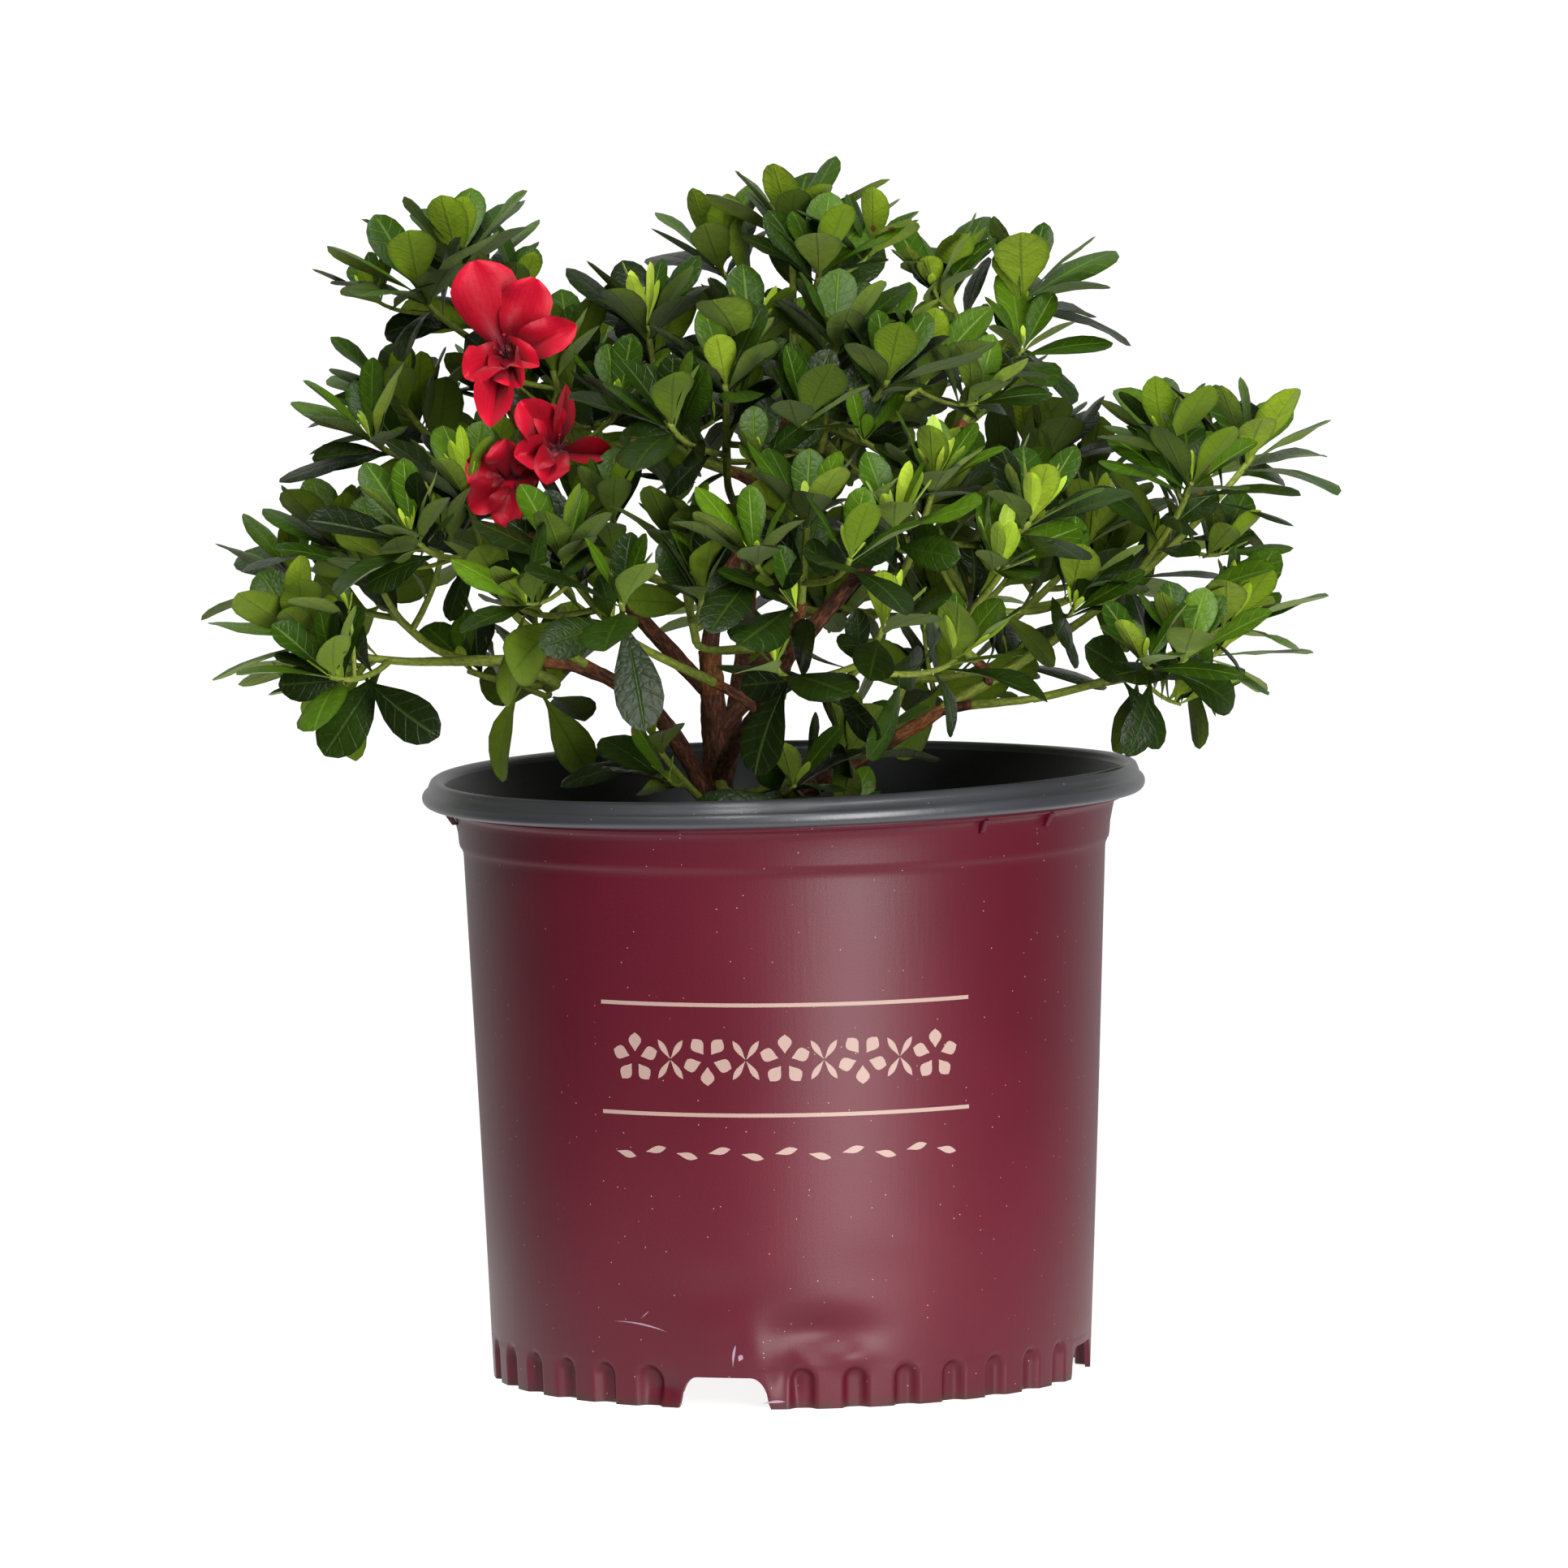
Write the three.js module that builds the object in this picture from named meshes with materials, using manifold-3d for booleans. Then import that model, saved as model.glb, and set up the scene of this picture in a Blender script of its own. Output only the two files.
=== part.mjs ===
// An azalea shrub in a plastic nursery pot, as separate solids: pot, potting mix, trunk, limbs, boughs
// and masses of foliage. Millimetres, +Z up, +Y to the back, origin on the pot's axis where it stands.
import * as THREE from "three";
import { mergeVertices } from "three/addons/utils/BufferGeometryUtils.js";
import Module from "manifold-3d";

const wasm = await Module();
wasm.setup();

const UP = new THREE.Vector3(0, 0, 1);
const GOLDEN_ANGLE = THREE.MathUtils.degToRad(137.508);
const CLEARANCE = 0.3; // between pieces that touch on the real plant
const SHORTEST_EDGE = 0.05;

// The pot: a thin wall with a rolled lip, a collar under it, flutes round the foot and four drain notches.
const POT = {
  height: 234,
  footRadius: 116,
  wallTopRadius: 124.4,
  wallTopZ: 206,
  collarRadius: 127.6,
  collarZ: 221,
  flangeRadius: 132,
  lipRadius: 140,
  lipBottomZ: 223,
  mouthRadius: 131,
  wall: 2.6,
  footWidth: 12,
  floorZ: 13,
  floorThickness: 2.6,
  facets: 48,
  frontSag: 4, // the lip is lower at the front left and higher at the front right by this much
};
const NOTCH = { count: 4, firstDegrees: -13, bottomWidth: 31, topWidth: 21, height: 12 };
const FLUTE = { pitchDegrees: 10, perQuarter: 7, firstDegrees: 15, width: 9, height: 15, depth: 2.4 };
const SOIL = { topZ: 200, facets: 36 };

// The trunk, from its flat cut on the potting mix to its fork.
const TRUNK = {
  foot: [-24, 0],
  forkZ: 280,
  footRadius: 5.6,
  forkRadius: 4.4,
  flareRadius: 8.6,
  flareHeight: 14,
};

// Limbs that leave the trunk and end where their last mass of foliage starts. from: share of the trunk's
// height. leave: the way it sets out. bow: how far along it holds its first and its last direction.
const LIMBS = {
  limb_left_low: { from: 0.1, leave: [-0.3, 0.1, 1], radii: [4.2, 2.2], bow: [0.6, 0.35] },
  limb_right_low: { from: 0.08, leave: [0.8, -0.1, 0.6], radii: [4, 2], bow: [0.35, 0.35] },
  limb_back: { from: 0.3, leave: [0.1, 1, 0.7], radii: [3.8, 2.2], bow: [0.35, 0.4] },
  limb_front: { from: 0.42, leave: [0.15, -1, 0.5], radii: [3.6, 2.2], bow: [0.35, 0.4] },
  limb_right_high: { from: 0.62, leave: [0.7, 0.15, 0.7], radii: [3.6, 2.1], bow: [0.35, 0.4] },
  limb_left_high: { from: 0.8, leave: [-0.7, 0.1, 0.7], radii: [3.4, 2.1], bow: [0.35, 0.4] },
  limb_top: { from: 1, leave: [0.1, 0, 1], radii: [3.6, 2.2], bow: [0.35, 0.35] },
};

// Masses of foliage. on, at: the limb its bough leaves, and at what share of that limb's length; with 1 it
// ends the limb itself, and a bare one has no bough. stem: length from there to its head. head: middle of
// its topmost rosette. lean: the way that points. shoots: how many rosettes it has in all, set spread
// apart. turn: degrees round the head at which the second one is tried first.
const MASSES = {
  left_far_low: {
    on: "limb_left_low", at: 1, stem: 48, shoots: 3, spread: 35,
    head: [-184, -50, 290], lean: [-0.75, -0.1, 0.3],
  },
  left_far_high: {
    on: "limb_left_low", at: 0.62, stem: 50, shoots: 5, spread: 41,
    head: [-172, 12, 322], lean: [-0.5, 0, 0.75],
  },
  left_inner: {
    on: "limb_left_low", at: 0.42, stem: 44, shoots: 4, spread: 40,
    head: [-119, -68, 346], lean: [-0.2, -0.35, 0.9],
  },
  left_upper: {
    on: "limb_left_high", at: 1, stem: 48, shoots: 3, spread: 30,
    head: [-123, 10, 432], lean: [-0.25, 0, 1],
  },
  left_mid: {
    on: "limb_left_high", at: 0.62, stem: 42, shoots: 4, spread: 38,
    head: [-147, 15, 378], lean: [-0.55, 0, 0.8],
  },
  blossom: {
    on: "limb_left_high", at: 0.5, stem: 44, shoots: 3, spread: 38,
    head: [-86, -52, 392], lean: [-0.15, -0.5, 0.8],
  },
  back_top_left: {
    on: "limb_left_high", at: 0.75, stem: 44, shoots: 4, spread: 42,
    head: [-74, 75, 387], lean: [-0.1, 0.3, 0.9],
  },
  top: {
    on: "limb_top", at: 1, stem: 50, shoots: 4, spread: 34, turn: 60,
    head: [6, 5, 440], lean: [0, 0, 1],
  },
  top_left: {
    on: "limb_top", at: 0.55, stem: 44, shoots: 4, spread: 38,
    head: [-50, -48, 408], lean: [-0.15, -0.25, 1],
  },
  centre: {
    on: "limb_top", at: 0.4, stem: 47, shoots: 4, spread: 38,
    head: [-20, -98, 388], lean: [0, -0.5, 0.8],
  },
  front_upper: {
    on: "limb_top", at: 0.7, stem: 44, shoots: 4, spread: 38,
    head: [22, -72, 402], lean: [0.1, -0.35, 0.9],
  },
  top_right: {
    on: "limb_top", at: 0.8, stem: 44, shoots: 5, spread: 42,
    head: [54, 56, 386], lean: [0.25, 0.25, 0.9],
  },
  right_upper: {
    on: "limb_right_high", at: 1, stem: 56, shoots: 2, spread: 30, turn: 90,
    head: [97, 30, 416], lean: [0.35, 0, 0.9],
  },
  right_mid: {
    on: "limb_right_high", at: 0.7, stem: 46, shoots: 4, spread: 37,
    head: [122, 28, 322], lean: [0.55, 0.1, 0.75],
  },
  right_front: {
    on: "limb_right_high", at: 0.5, stem: 44, shoots: 4, spread: 42,
    head: [58, -115, 350], lean: [0.2, -0.5, 0.8],
  },
  right_far: {
    on: "limb_right_low", at: 1, stem: 94, shoots: 3, spread: 34, turn: 60,
    head: [182, -24, 354], lean: [0.6, 0, 0.75],
  },
  right_low: {
    on: "limb_right_low", at: 0.62, stem: 84, shoots: 3, spread: 36,
    head: [172, -55, 292], lean: [0.8, -0.15, 0.48],
  },
  right_under: {
    on: "limb_right_low", at: 0.45, stem: 40, shoots: 3, spread: 36,
    head: [88, 34, 272], lean: [0.7, 0.35, 0.25],
  },
  right_inner: {
    on: "limb_right_low", at: 0.75, stem: 42, shoots: 4, spread: 40,
    head: [86, -78, 318], lean: [0.4, -0.5, 0.7],
  },
  front_centre: {
    on: "limb_front", at: 1, stem: 44, shoots: 3, spread: 40,
    head: [10, -146, 340], lean: [0.05, -0.55, 0.85],
  },
  front_low: {
    on: "limb_front", at: 0.6, stem: 40, shoots: 3, spread: 38,
    head: [38, -138, 298], lean: [0.3, -0.65, 0.65],
  },
  front_left: {
    on: "limb_front", at: 0.45, stem: 44, shoots: 4, spread: 40,
    head: [-82, -130, 324], lean: [-0.4, -0.5, 0.75],
  },
  centre_left: {
    on: "limb_front", at: 0.78, stem: 44, shoots: 4, spread: 39,
    head: [-38, -114, 326], lean: [-0.1, -0.45, 0.85],
  },
  back_mid: {
    on: "limb_back", at: 1, stem: 46, shoots: 5, spread: 44,
    head: [-10, 146, 372], lean: [0, 0.55, 0.8],
  },
  back_left: {
    on: "limb_back", at: 0.55, stem: 46, shoots: 5, spread: 42,
    head: [-112, 116, 345], lean: [-0.5, 0.5, 0.7],
  },
  back_right: {
    on: "limb_back", at: 0.7, stem: 46, shoots: 5, spread: 44,
    head: [98, 116, 350], lean: [0.5, 0.5, 0.7],
  },
  back_low: {
    on: "limb_back", at: 0.38, stem: 44, shoots: 5, spread: 44,
    head: [20, 166, 300], lean: [0.05, 0.8, 0.5],
  },
  left_under: {
    on: "limb_left_low", bare: true, at: 0.8, stem: 40, shoots: 3, spread: 30,
    head: [-122, 22, 272], lean: [-0.7, 0.4, 0.25],
  },
  sprout_left: {
    on: "trunk", bare: true, at: 0.18, stem: 36, shoots: 2, spread: 24,
    head: [-50, -14, 246], lean: [-0.5, -0.2, 0.8],
  },
  sprout_right: {
    on: "trunk", bare: true, at: 0.4, stem: 55, shoots: 2, spread: 29,
    head: [26, -42, 243], lean: [0.75, -0.3, 0.45],
  },
};
const BOUGH_RADII = [2.6, 1.9];
const TWIG_RADII = [2.2, 1.3];
const FINE_TWIG_RADII = [1.8, 1.2];

// Leaves stand round each head in a rosette, by turns a young one that stands up and an old one that lies
// outwards; a few more grow singly down the stem.
const LEAF = { length: 39, width: 16, thickness: 1.6, widestAt: 0.6, arch: 0.05, sunk: 1 };
const ROSETTE = {
  leaves: 8,
  sideLeaves: 6,
  young: 34,
  old: 76,
  youngSlot: 1.2,
  notchRadius: 4.2,
  notchRise: 2,
  bud: 4,
  neck: 6,
};
const STEM_LEAVES = { count: 4, pitch: 68 };
const LEAF_SETTING = { steepest: 24, droop: 0.12, tries: 5, shorter: 0.09, steeper: 0.14 };
const SPACE = { ownMargin: 1.2, sharing: 1, headsApart: 29, lipMargin: 6, sideTries: 14, hang: 0.35 };

// Open flowers: five petals on a short funnel. at: the throat. face: the way it opens.
const PETALS = { count: 5, notch: 0.72, thickness: 2.2 };
const BLOOMS = [
  { in: "blossom", at: [-98, -72, 402], face: [-0.1, -0.9, 0.35], radius: 27, opening: 62 },
  { in: "blossom", at: [-84, -82, 366], face: [0.25, -0.95, 0.1], radius: 22, opening: 45 },
  { in: "blossom", at: [-103, -76, 352], face: [-0.5, -0.85, -0.1], radius: 18, opening: 40 },
];

const vector = (numbers) => new THREE.Vector3(...numbers);
const unit = (numbers) => vector(numbers).normalize();
const mix = (a, b, share) => a + (b - a) * share;

// A Lehmer generator, so that every build draws the same plant.
function makeRandom(seed) {
  let state = seed;
  return () => {
    state = (state * 16807) % 2147483647;
    return state / 2147483647;
  };
}

function solidOf(geometry) {
  const bare = geometry.clone();
  bare.deleteAttribute("normal");
  bare.deleteAttribute("uv");
  const merged = mergeVertices(bare, 1e-3);
  const corners = merged.index.array;
  const triVerts = [];
  for (let i = 0; i < corners.length; i += 3) {
    const [a, b, c] = corners.slice(i, i + 3);
    if (a !== b && b !== c && c !== a) triVerts.push(a, b, c);
  }
  return new wasm.Manifold(
    new wasm.Mesh({
      numProp: 3,
      vertProperties: new Float32Array(merged.attributes.position.array),
      triVerts: new Uint32Array(triVerts),
    }),
  );
}

function geometryOf(solid) {
  const mesh = solid.getMesh();
  return new THREE.BufferGeometry()
    .setAttribute("position", new THREE.BufferAttribute(mesh.vertProperties, 3))
    .setIndex(new THREE.BufferAttribute(mesh.triVerts, 1));
}

// The largest body of a solid, without edges too short to matter: loose scraps are dropped.
function largestBody(solid) {
  const bodies = solid.simplify(SHORTEST_EDGE).decompose();
  return bodies.sort((a, b) => b.volume() - a.volume())[0];
}

function unionOf(solids) {
  return solids.reduce((whole, next) => whole.add(next));
}

// A closed round limb of changing radius along a curve.
function limbSolid(curve, radiusAt, sides, segments) {
  const geometry = new THREE.CylinderGeometry(1, 1, 1, sides, segments);
  const frames = curve.computeFrenetFrames(segments, false);
  const position = geometry.attributes.position;
  const point = new THREE.Vector3();
  for (let i = 0; i < position.count; i++) {
    const share = position.getY(i) + 0.5;
    const ring = Math.round(share * segments);
    const radius = radiusAt(share);
    curve.getPointAt(share, point);
    point.addScaledVector(frames.binormals[ring], position.getX(i) * radius);
    point.addScaledVector(frames.normals[ring], position.getZ(i) * radius);
    position.setXYZ(i, point.x, point.y, point.z);
  }
  return solidOf(geometry);
}

const taper = ([foot, tip]) => (share) => mix(foot, tip, share);

// The direction at an angle round an axis, given two unit vectors square to it.
function turned([first, second], angle) {
  return first.clone().multiplyScalar(Math.cos(angle)).addScaledVector(second, Math.sin(angle));
}

// Two unit vectors square to a direction.
function squareTo(direction) {
  const aside = Math.abs(direction.z) > 0.9 ? new THREE.Vector3(1, 0, 0) : UP;
  const first = new THREE.Vector3().crossVectors(direction, aside).normalize();
  const second = new THREE.Vector3().crossVectors(direction, first);
  return [first, second];
}

// ---- pot and potting mix ----

// The soft pot's mouth isn't level: its lip sags at the front left.
function sagMouth(geometry) {
  const position = geometry.attributes.position;
  for (let i = 0; i < position.count; i++) {
    const [x, y, z] = [position.getX(i), position.getY(i), position.getZ(i)];
    const share = Math.max(0, (z - SOIL.topZ) / (POT.height - SOIL.topZ));
    const front = 0.5 - (0.5 * y) / POT.lipRadius;
    position.setZ(i, z + POT.frontSag * (x / POT.lipRadius) * front * share);
  }
}

function potInnerRadius(z) {
  return mix(POT.footRadius, POT.wallTopRadius, z / POT.wallTopZ) - POT.wall;
}

function potProfile() {
  const ceiling = POT.floorZ + POT.floorThickness;
  return [
    [0, POT.floorZ],
    [POT.footRadius - POT.footWidth, POT.floorZ],
    [POT.footRadius - POT.footWidth, 0],
    [POT.footRadius, 0],
    [mix(POT.footRadius, POT.wallTopRadius, 0.1), POT.wallTopZ * 0.1],
    [POT.wallTopRadius, POT.wallTopZ],
    [POT.collarRadius - 1.6, POT.wallTopZ + 2],
    [POT.collarRadius, POT.collarZ],
    [POT.flangeRadius, POT.collarZ + 1],
    [POT.flangeRadius, POT.lipBottomZ],
    [POT.lipRadius - 2.5, POT.lipBottomZ],
    [POT.lipRadius, POT.lipBottomZ + 4],
    [POT.lipRadius - 1.5, POT.height - 2],
    [POT.lipRadius - 4.5, POT.height],
    [POT.mouthRadius, POT.height - 2.5],
    [POT.collarRadius - POT.wall, POT.collarZ - 0.5],
    [POT.collarRadius - 1.6 - POT.wall, POT.wallTopZ + 2],
    [potInnerRadius(POT.wallTopZ), POT.wallTopZ - 3],
    [potInnerRadius(ceiling), ceiling],
    [0, ceiling],
  ].map(([radius, z]) => new THREE.Vector2(radius, z));
}

// Turns a solid of revolution made about Y into one about Z.
function latheAboutZ(profile, facets) {
  const geometry = new THREE.LatheGeometry(profile, facets);
  geometry.rotateX(Math.PI / 2);
  return geometry;
}

// A cutter that reaches in from outside the foot, with a straight-sided outline across the wall.
function footCutter(outline, degrees, inner, outer) {
  const shape = new THREE.Shape(outline.map(([across, z]) => new THREE.Vector2(across, z)));
  const geometry = new THREE.ExtrudeGeometry(shape, { depth: outer - inner, bevelEnabled: false });
  geometry.rotateX(Math.PI / 2); // across, then inwards along -Y, then up
  geometry.translate(0, -inner, 0);
  geometry.rotateZ(THREE.MathUtils.degToRad(degrees));
  return solidOf(geometry);
}

function potGeometry() {
  const body = latheAboutZ(potProfile(), POT.facets);
  sagMouth(body);
  let pot = solidOf(body);
  const quarter = 360 / NOTCH.count;
  for (let side = 0; side < NOTCH.count; side++) {
    const notchAt = NOTCH.firstDegrees + side * quarter;
    const arch = [
      [-NOTCH.bottomWidth / 2, -1],
      [NOTCH.bottomWidth / 2, -1],
      [NOTCH.topWidth / 2, NOTCH.height],
      [-NOTCH.topWidth / 2, NOTCH.height],
    ];
    pot = pot.subtract(footCutter(arch, notchAt, POT.footRadius - POT.footWidth - 3, POT.lipRadius));
    for (let k = 0; k < FLUTE.perQuarter; k++) {
      const half = FLUTE.width / 2;
      const outline = [
        [-half, -1],
        [half, -1],
        [half * 0.8, FLUTE.height - 2],
        [0, FLUTE.height],
        [-half * 0.8, FLUTE.height - 2],
      ];
      const fluteAt = notchAt + FLUTE.firstDegrees + k * FLUTE.pitchDegrees;
      pot = pot.subtract(footCutter(outline, fluteAt, POT.footRadius - FLUTE.depth, POT.lipRadius));
    }
  }
  return geometryOf(largestBody(pot));
}

function soilGeometry() {
  const bottom = POT.floorZ + POT.floorThickness + CLEARANCE;
  const wallAt = (z) => potInnerRadius(z) - 2 * CLEARANCE;
  const profile = [
    [0, bottom],
    [wallAt(bottom) - 0.4, bottom],
    [wallAt(SOIL.topZ) - 0.4, SOIL.topZ - 5],
    [wallAt(SOIL.topZ) - 14, SOIL.topZ],
    [0, SOIL.topZ],
  ];
  const points = profile.map(([radius, z]) => new THREE.Vector2(radius, z));
  return latheAboutZ(points, SOIL.facets);
}

// ---- trunk, limbs and boughs ----

// How many sides each kind of limb has, and about how long each of its stretches is.
const FACETING = { trunk: [9, 13], limb: [6, 22], bough: [5, 30] };

function trunkCurve() {
  const [x, y] = TRUNK.foot;
  const footZ = SOIL.topZ - 4;
  return new THREE.CatmullRomCurve3([
    new THREE.Vector3(x, y, footZ),
    new THREE.Vector3(x + 0.5, y, footZ + 16),
    new THREE.Vector3(x - 2, y + 1, mix(footZ, TRUNK.forkZ, 0.5)),
    new THREE.Vector3(x - 4, y + 2, TRUNK.forkZ),
  ]);
}

function trunkRadius(share) {
  const heightAbove = share * (TRUNK.forkZ - SOIL.topZ);
  const flare = Math.max(0, 1 - heightAbove / TRUNK.flareHeight) ** 2;
  return mix(TRUNK.footRadius, TRUNK.forkRadius, share) + flare * (TRUNK.flareRadius - TRUNK.footRadius);
}

// A stem's line from its bough to its head: it sets out flatter than it ends.
function stemCurve(mass) {
  const head = vector(mass.head);
  const lean = unit(mass.lean);
  const low = lean.clone().addScaledVector(UP, -0.35).normalize();
  const elbow = head.clone().addScaledVector(lean, -mass.stem * 0.5);
  const foot = elbow.clone().addScaledVector(low, -mass.stem * 0.5);
  return new THREE.QuadraticBezierCurve3(foot, elbow, head);
}

function bowedCurve(start, leave, end, arrive, [first, last]) {
  const span = start.distanceTo(end);
  return new THREE.CubicBezierCurve3(
    start,
    start.clone().addScaledVector(leave, span * first),
    end.clone().addScaledVector(arrive, -span * last),
    end,
  );
}

// Every limb and bough as { name, curve, radii, parent }, parents first.
function layOutLimbs() {
  const trunk = { name: "trunk", curve: trunkCurve(), radiusAt: trunkRadius, parent: null };
  const limbs = { trunk };
  for (const [name, limb] of Object.entries(LIMBS)) {
    const last = Object.values(MASSES).find((mass) => mass.on === name && mass.at === 1);
    const stem = stemCurve(last);
    const start = trunk.curve.getPointAt(limb.from);
    const arrive = stem.getTangentAt(0);
    const curve = bowedCurve(start, unit(limb.leave), stem.getPointAt(0), arrive, limb.bow);
    limbs[name] = { name, curve, radiusAt: taper(limb.radii), parent: trunk, joint: limb.from };
  }
  for (const [name, mass] of Object.entries(MASSES)) {
    if (mass.at === 1 || mass.bare) continue;
    const parent = limbs[mass.on];
    const stem = stemCurve(mass);
    const start = parent.curve.getPointAt(mass.at);
    const end = stem.getPointAt(0);
    const leave = parent.curve.getTangentAt(mass.at).multiplyScalar(0.5);
    leave.add(end.clone().sub(start).normalize()).normalize();
    const curve = bowedCurve(start, leave, end, stem.getTangentAt(0), [0.3, 0.3]);
    const boughName = "bough_" + name;
    limbs[boughName] = { name: boughName, curve, radiusAt: taper(BOUGH_RADII), parent, joint: mass.at };
  }
  return limbs;
}

// A limb's solid, cut clear of the limbs it leaves and of its elder neighbours.
function buildLimbs(limbs) {
  const built = {};
  const clearance = {};
  for (const limb of Object.values(limbs)) {
    const [sides, stride] = FACETING[limb.name.split("_")[0]];
    const segments = Math.max(2, Math.round(limb.curve.getLength() / stride));
    let solid = limbSolid(limb.curve, limb.radiusAt, sides, segments);
    for (const elder of Object.values(clearance)) solid = solid.subtract(elder);
    if (limb.name === "trunk") solid = solid.trimByPlane([0, 0, 1], SOIL.topZ + CLEARANCE);
    built[limb.name] = largestBody(solid);
    const around = (share) => limb.radiusAt(share) + CLEARANCE * 1.4;
    clearance[limb.name] = limbSolid(limb.curve, around, sides, segments);
  }
  return { built, clearance };
}

// ---- masses of foliage ----

// Points along every limb and twig, each with the mass or limb it belongs to and the number of its twig.
class Skeleton {
  constructor() {
    this.points = [];
  }
  addCurve(owner, twig, curve, from = 0) {
    const steps = Math.max(2, Math.ceil(curve.getLength() / 7));
    for (let i = 0; i <= steps; i++) {
      const share = i / steps;
      if (share >= from) this.points.push({ owner, twig, at: curve.getPointAt(share) });
    }
  }
  addPoint(owner, twig, at) {
    this.points.push({ owner, twig, at });
  }
  // How far a place is from a twig itself, from its sister twigs and from everything else.
  distances(owner, twig, at) {
    const nearest = { own: Infinity, sister: Infinity, other: Infinity };
    for (const point of this.points) {
      const whose = point.owner !== owner ? "other" : point.twig !== twig ? "sister" : "own";
      nearest[whose] = Math.min(nearest[whose], point.at.distanceTo(at));
    }
    return nearest;
  }
}

// A point is free if it is above the potting mix and off the pot's wall and lip.
function clearOfPot(point) {
  const radius = Math.hypot(point.x, point.y);
  if (point.z < SOIL.topZ + 3) return false;
  const overWall = radius > POT.mouthRadius - 5.5 - SPACE.lipMargin;
  return !(overWall && point.z < POT.height + SPACE.lipMargin);
}

// A mass's twigs: the stem to its head, and side shoots set round it at equal spread.
function layOutShoots(name, mass, skeleton, random) {
  const head = vector(mass.head);
  const lean = unit(mass.lean);
  const stem = stemCurve(mass);
  const shoots = [{ curve: stem, lean, radii: TWIG_RADII }];
  const square = squareTo(lean);
  const phase = mass.turn === undefined ? random() * Math.PI * 2 : THREE.MathUtils.degToRad(mass.turn);
  let turn = 0;
  for (let side = 1; side < mass.shoots; side++) {
    for (let attempt = 0; attempt < SPACE.sideTries; attempt++) {
      const angle = phase + GOLDEN_ANGLE * turn++;
      const drop = mass.spread * (0.3 + 0.35 * random());
      const around = turned(square, angle);
      const end = head.clone().addScaledVector(around, mass.spread).addScaledVector(lean, -drop);
      end.z = Math.max(end.z, head.z - SPACE.hang * mass.spread);
      const sideLean = lean.clone().multiplyScalar(0.7);
      sideLean.addScaledVector(around, 0.5).addScaledVector(UP, 0.3).normalize();
      const start = stem.getPointAt(Math.max(0.12, 0.5 - 0.12 * side));
      const elbow = end.clone().addScaledVector(sideLean, -mass.spread * 0.45);
      const curve = new THREE.QuadraticBezierCurve3(start, elbow, end);
      const clear = [0.5, 0.75, 1].every((share) => {
        const at = curve.getPointAt(share);
        const { other } = skeleton.distances(name, 0, at);
        return clearOfPot(at) && other > SPACE.headsApart * (share === 1 ? 1 : 0.5);
      });
      const apart = shoots.every((shoot) => shoot.curve.getPointAt(1).distanceTo(end) > SPACE.headsApart);
      if (!clear || !apart) continue;
      shoots.push({ curve, lean: sideLean, radii: FINE_TWIG_RADII });
      break;
    }
  }
  return shoots;
}

// The frame of a leaf that leaves a twig: along its midrib, across it, and out of its upper face.
function leafFrame(lean, around, pitch) {
  const angle = THREE.MathUtils.degToRad(pitch * (1 + LEAF_SETTING.droop * around.z));
  const along = lean.clone().multiplyScalar(Math.cos(angle)).addScaledVector(around, Math.sin(angle));
  const across = new THREE.Vector3().crossVectors(lean, around);
  const face = new THREE.Vector3().crossVectors(across, along).negate();
  return { along, across, face, angle };
}

// A leaf's outermost points, raised and shortened until they are in its twig's own space, or nothing.
// slotWidth gives the most room there is across it at its widest, for its slant and length.
function fitLeaf(name, twig, root, lean, around, pitch, length, slotWidth, skeleton) {
  for (let attempt = 0; attempt < LEAF_SETTING.tries; attempt++) {
    const size = length * (1 - LEAF_SETTING.shorter * attempt);
    const raised = Math.max(pitch * (1 - LEAF_SETTING.steeper * attempt), LEAF_SETTING.steepest);
    const frame = leafFrame(lean, around, raised);
    const half = Math.min((LEAF.width * size) / LEAF.length, slotWidth(frame.angle, size)) / 2;
    const widest = root.clone().addScaledVector(frame.along, LEAF.widestAt * size);
    widest.addScaledVector(frame.face, LEAF.thickness / 2);
    const tip = root.clone().addScaledVector(frame.along, size);
    tip.addScaledVector(frame.face, -LEAF.arch * size);
    const left = widest.clone().addScaledVector(frame.across, -half);
    const right = widest.clone().addScaledVector(frame.across, half);
    const free = [tip, left, right].every((corner) => {
      const { own, sister, other } = skeleton.distances(name, twig, corner);
      return clearOfPot(corner) && other > own + SPACE.ownMargin && sister > own - SPACE.sharing;
    });
    if (free) return { left, tip, right };
  }
  return null;
}

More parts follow.
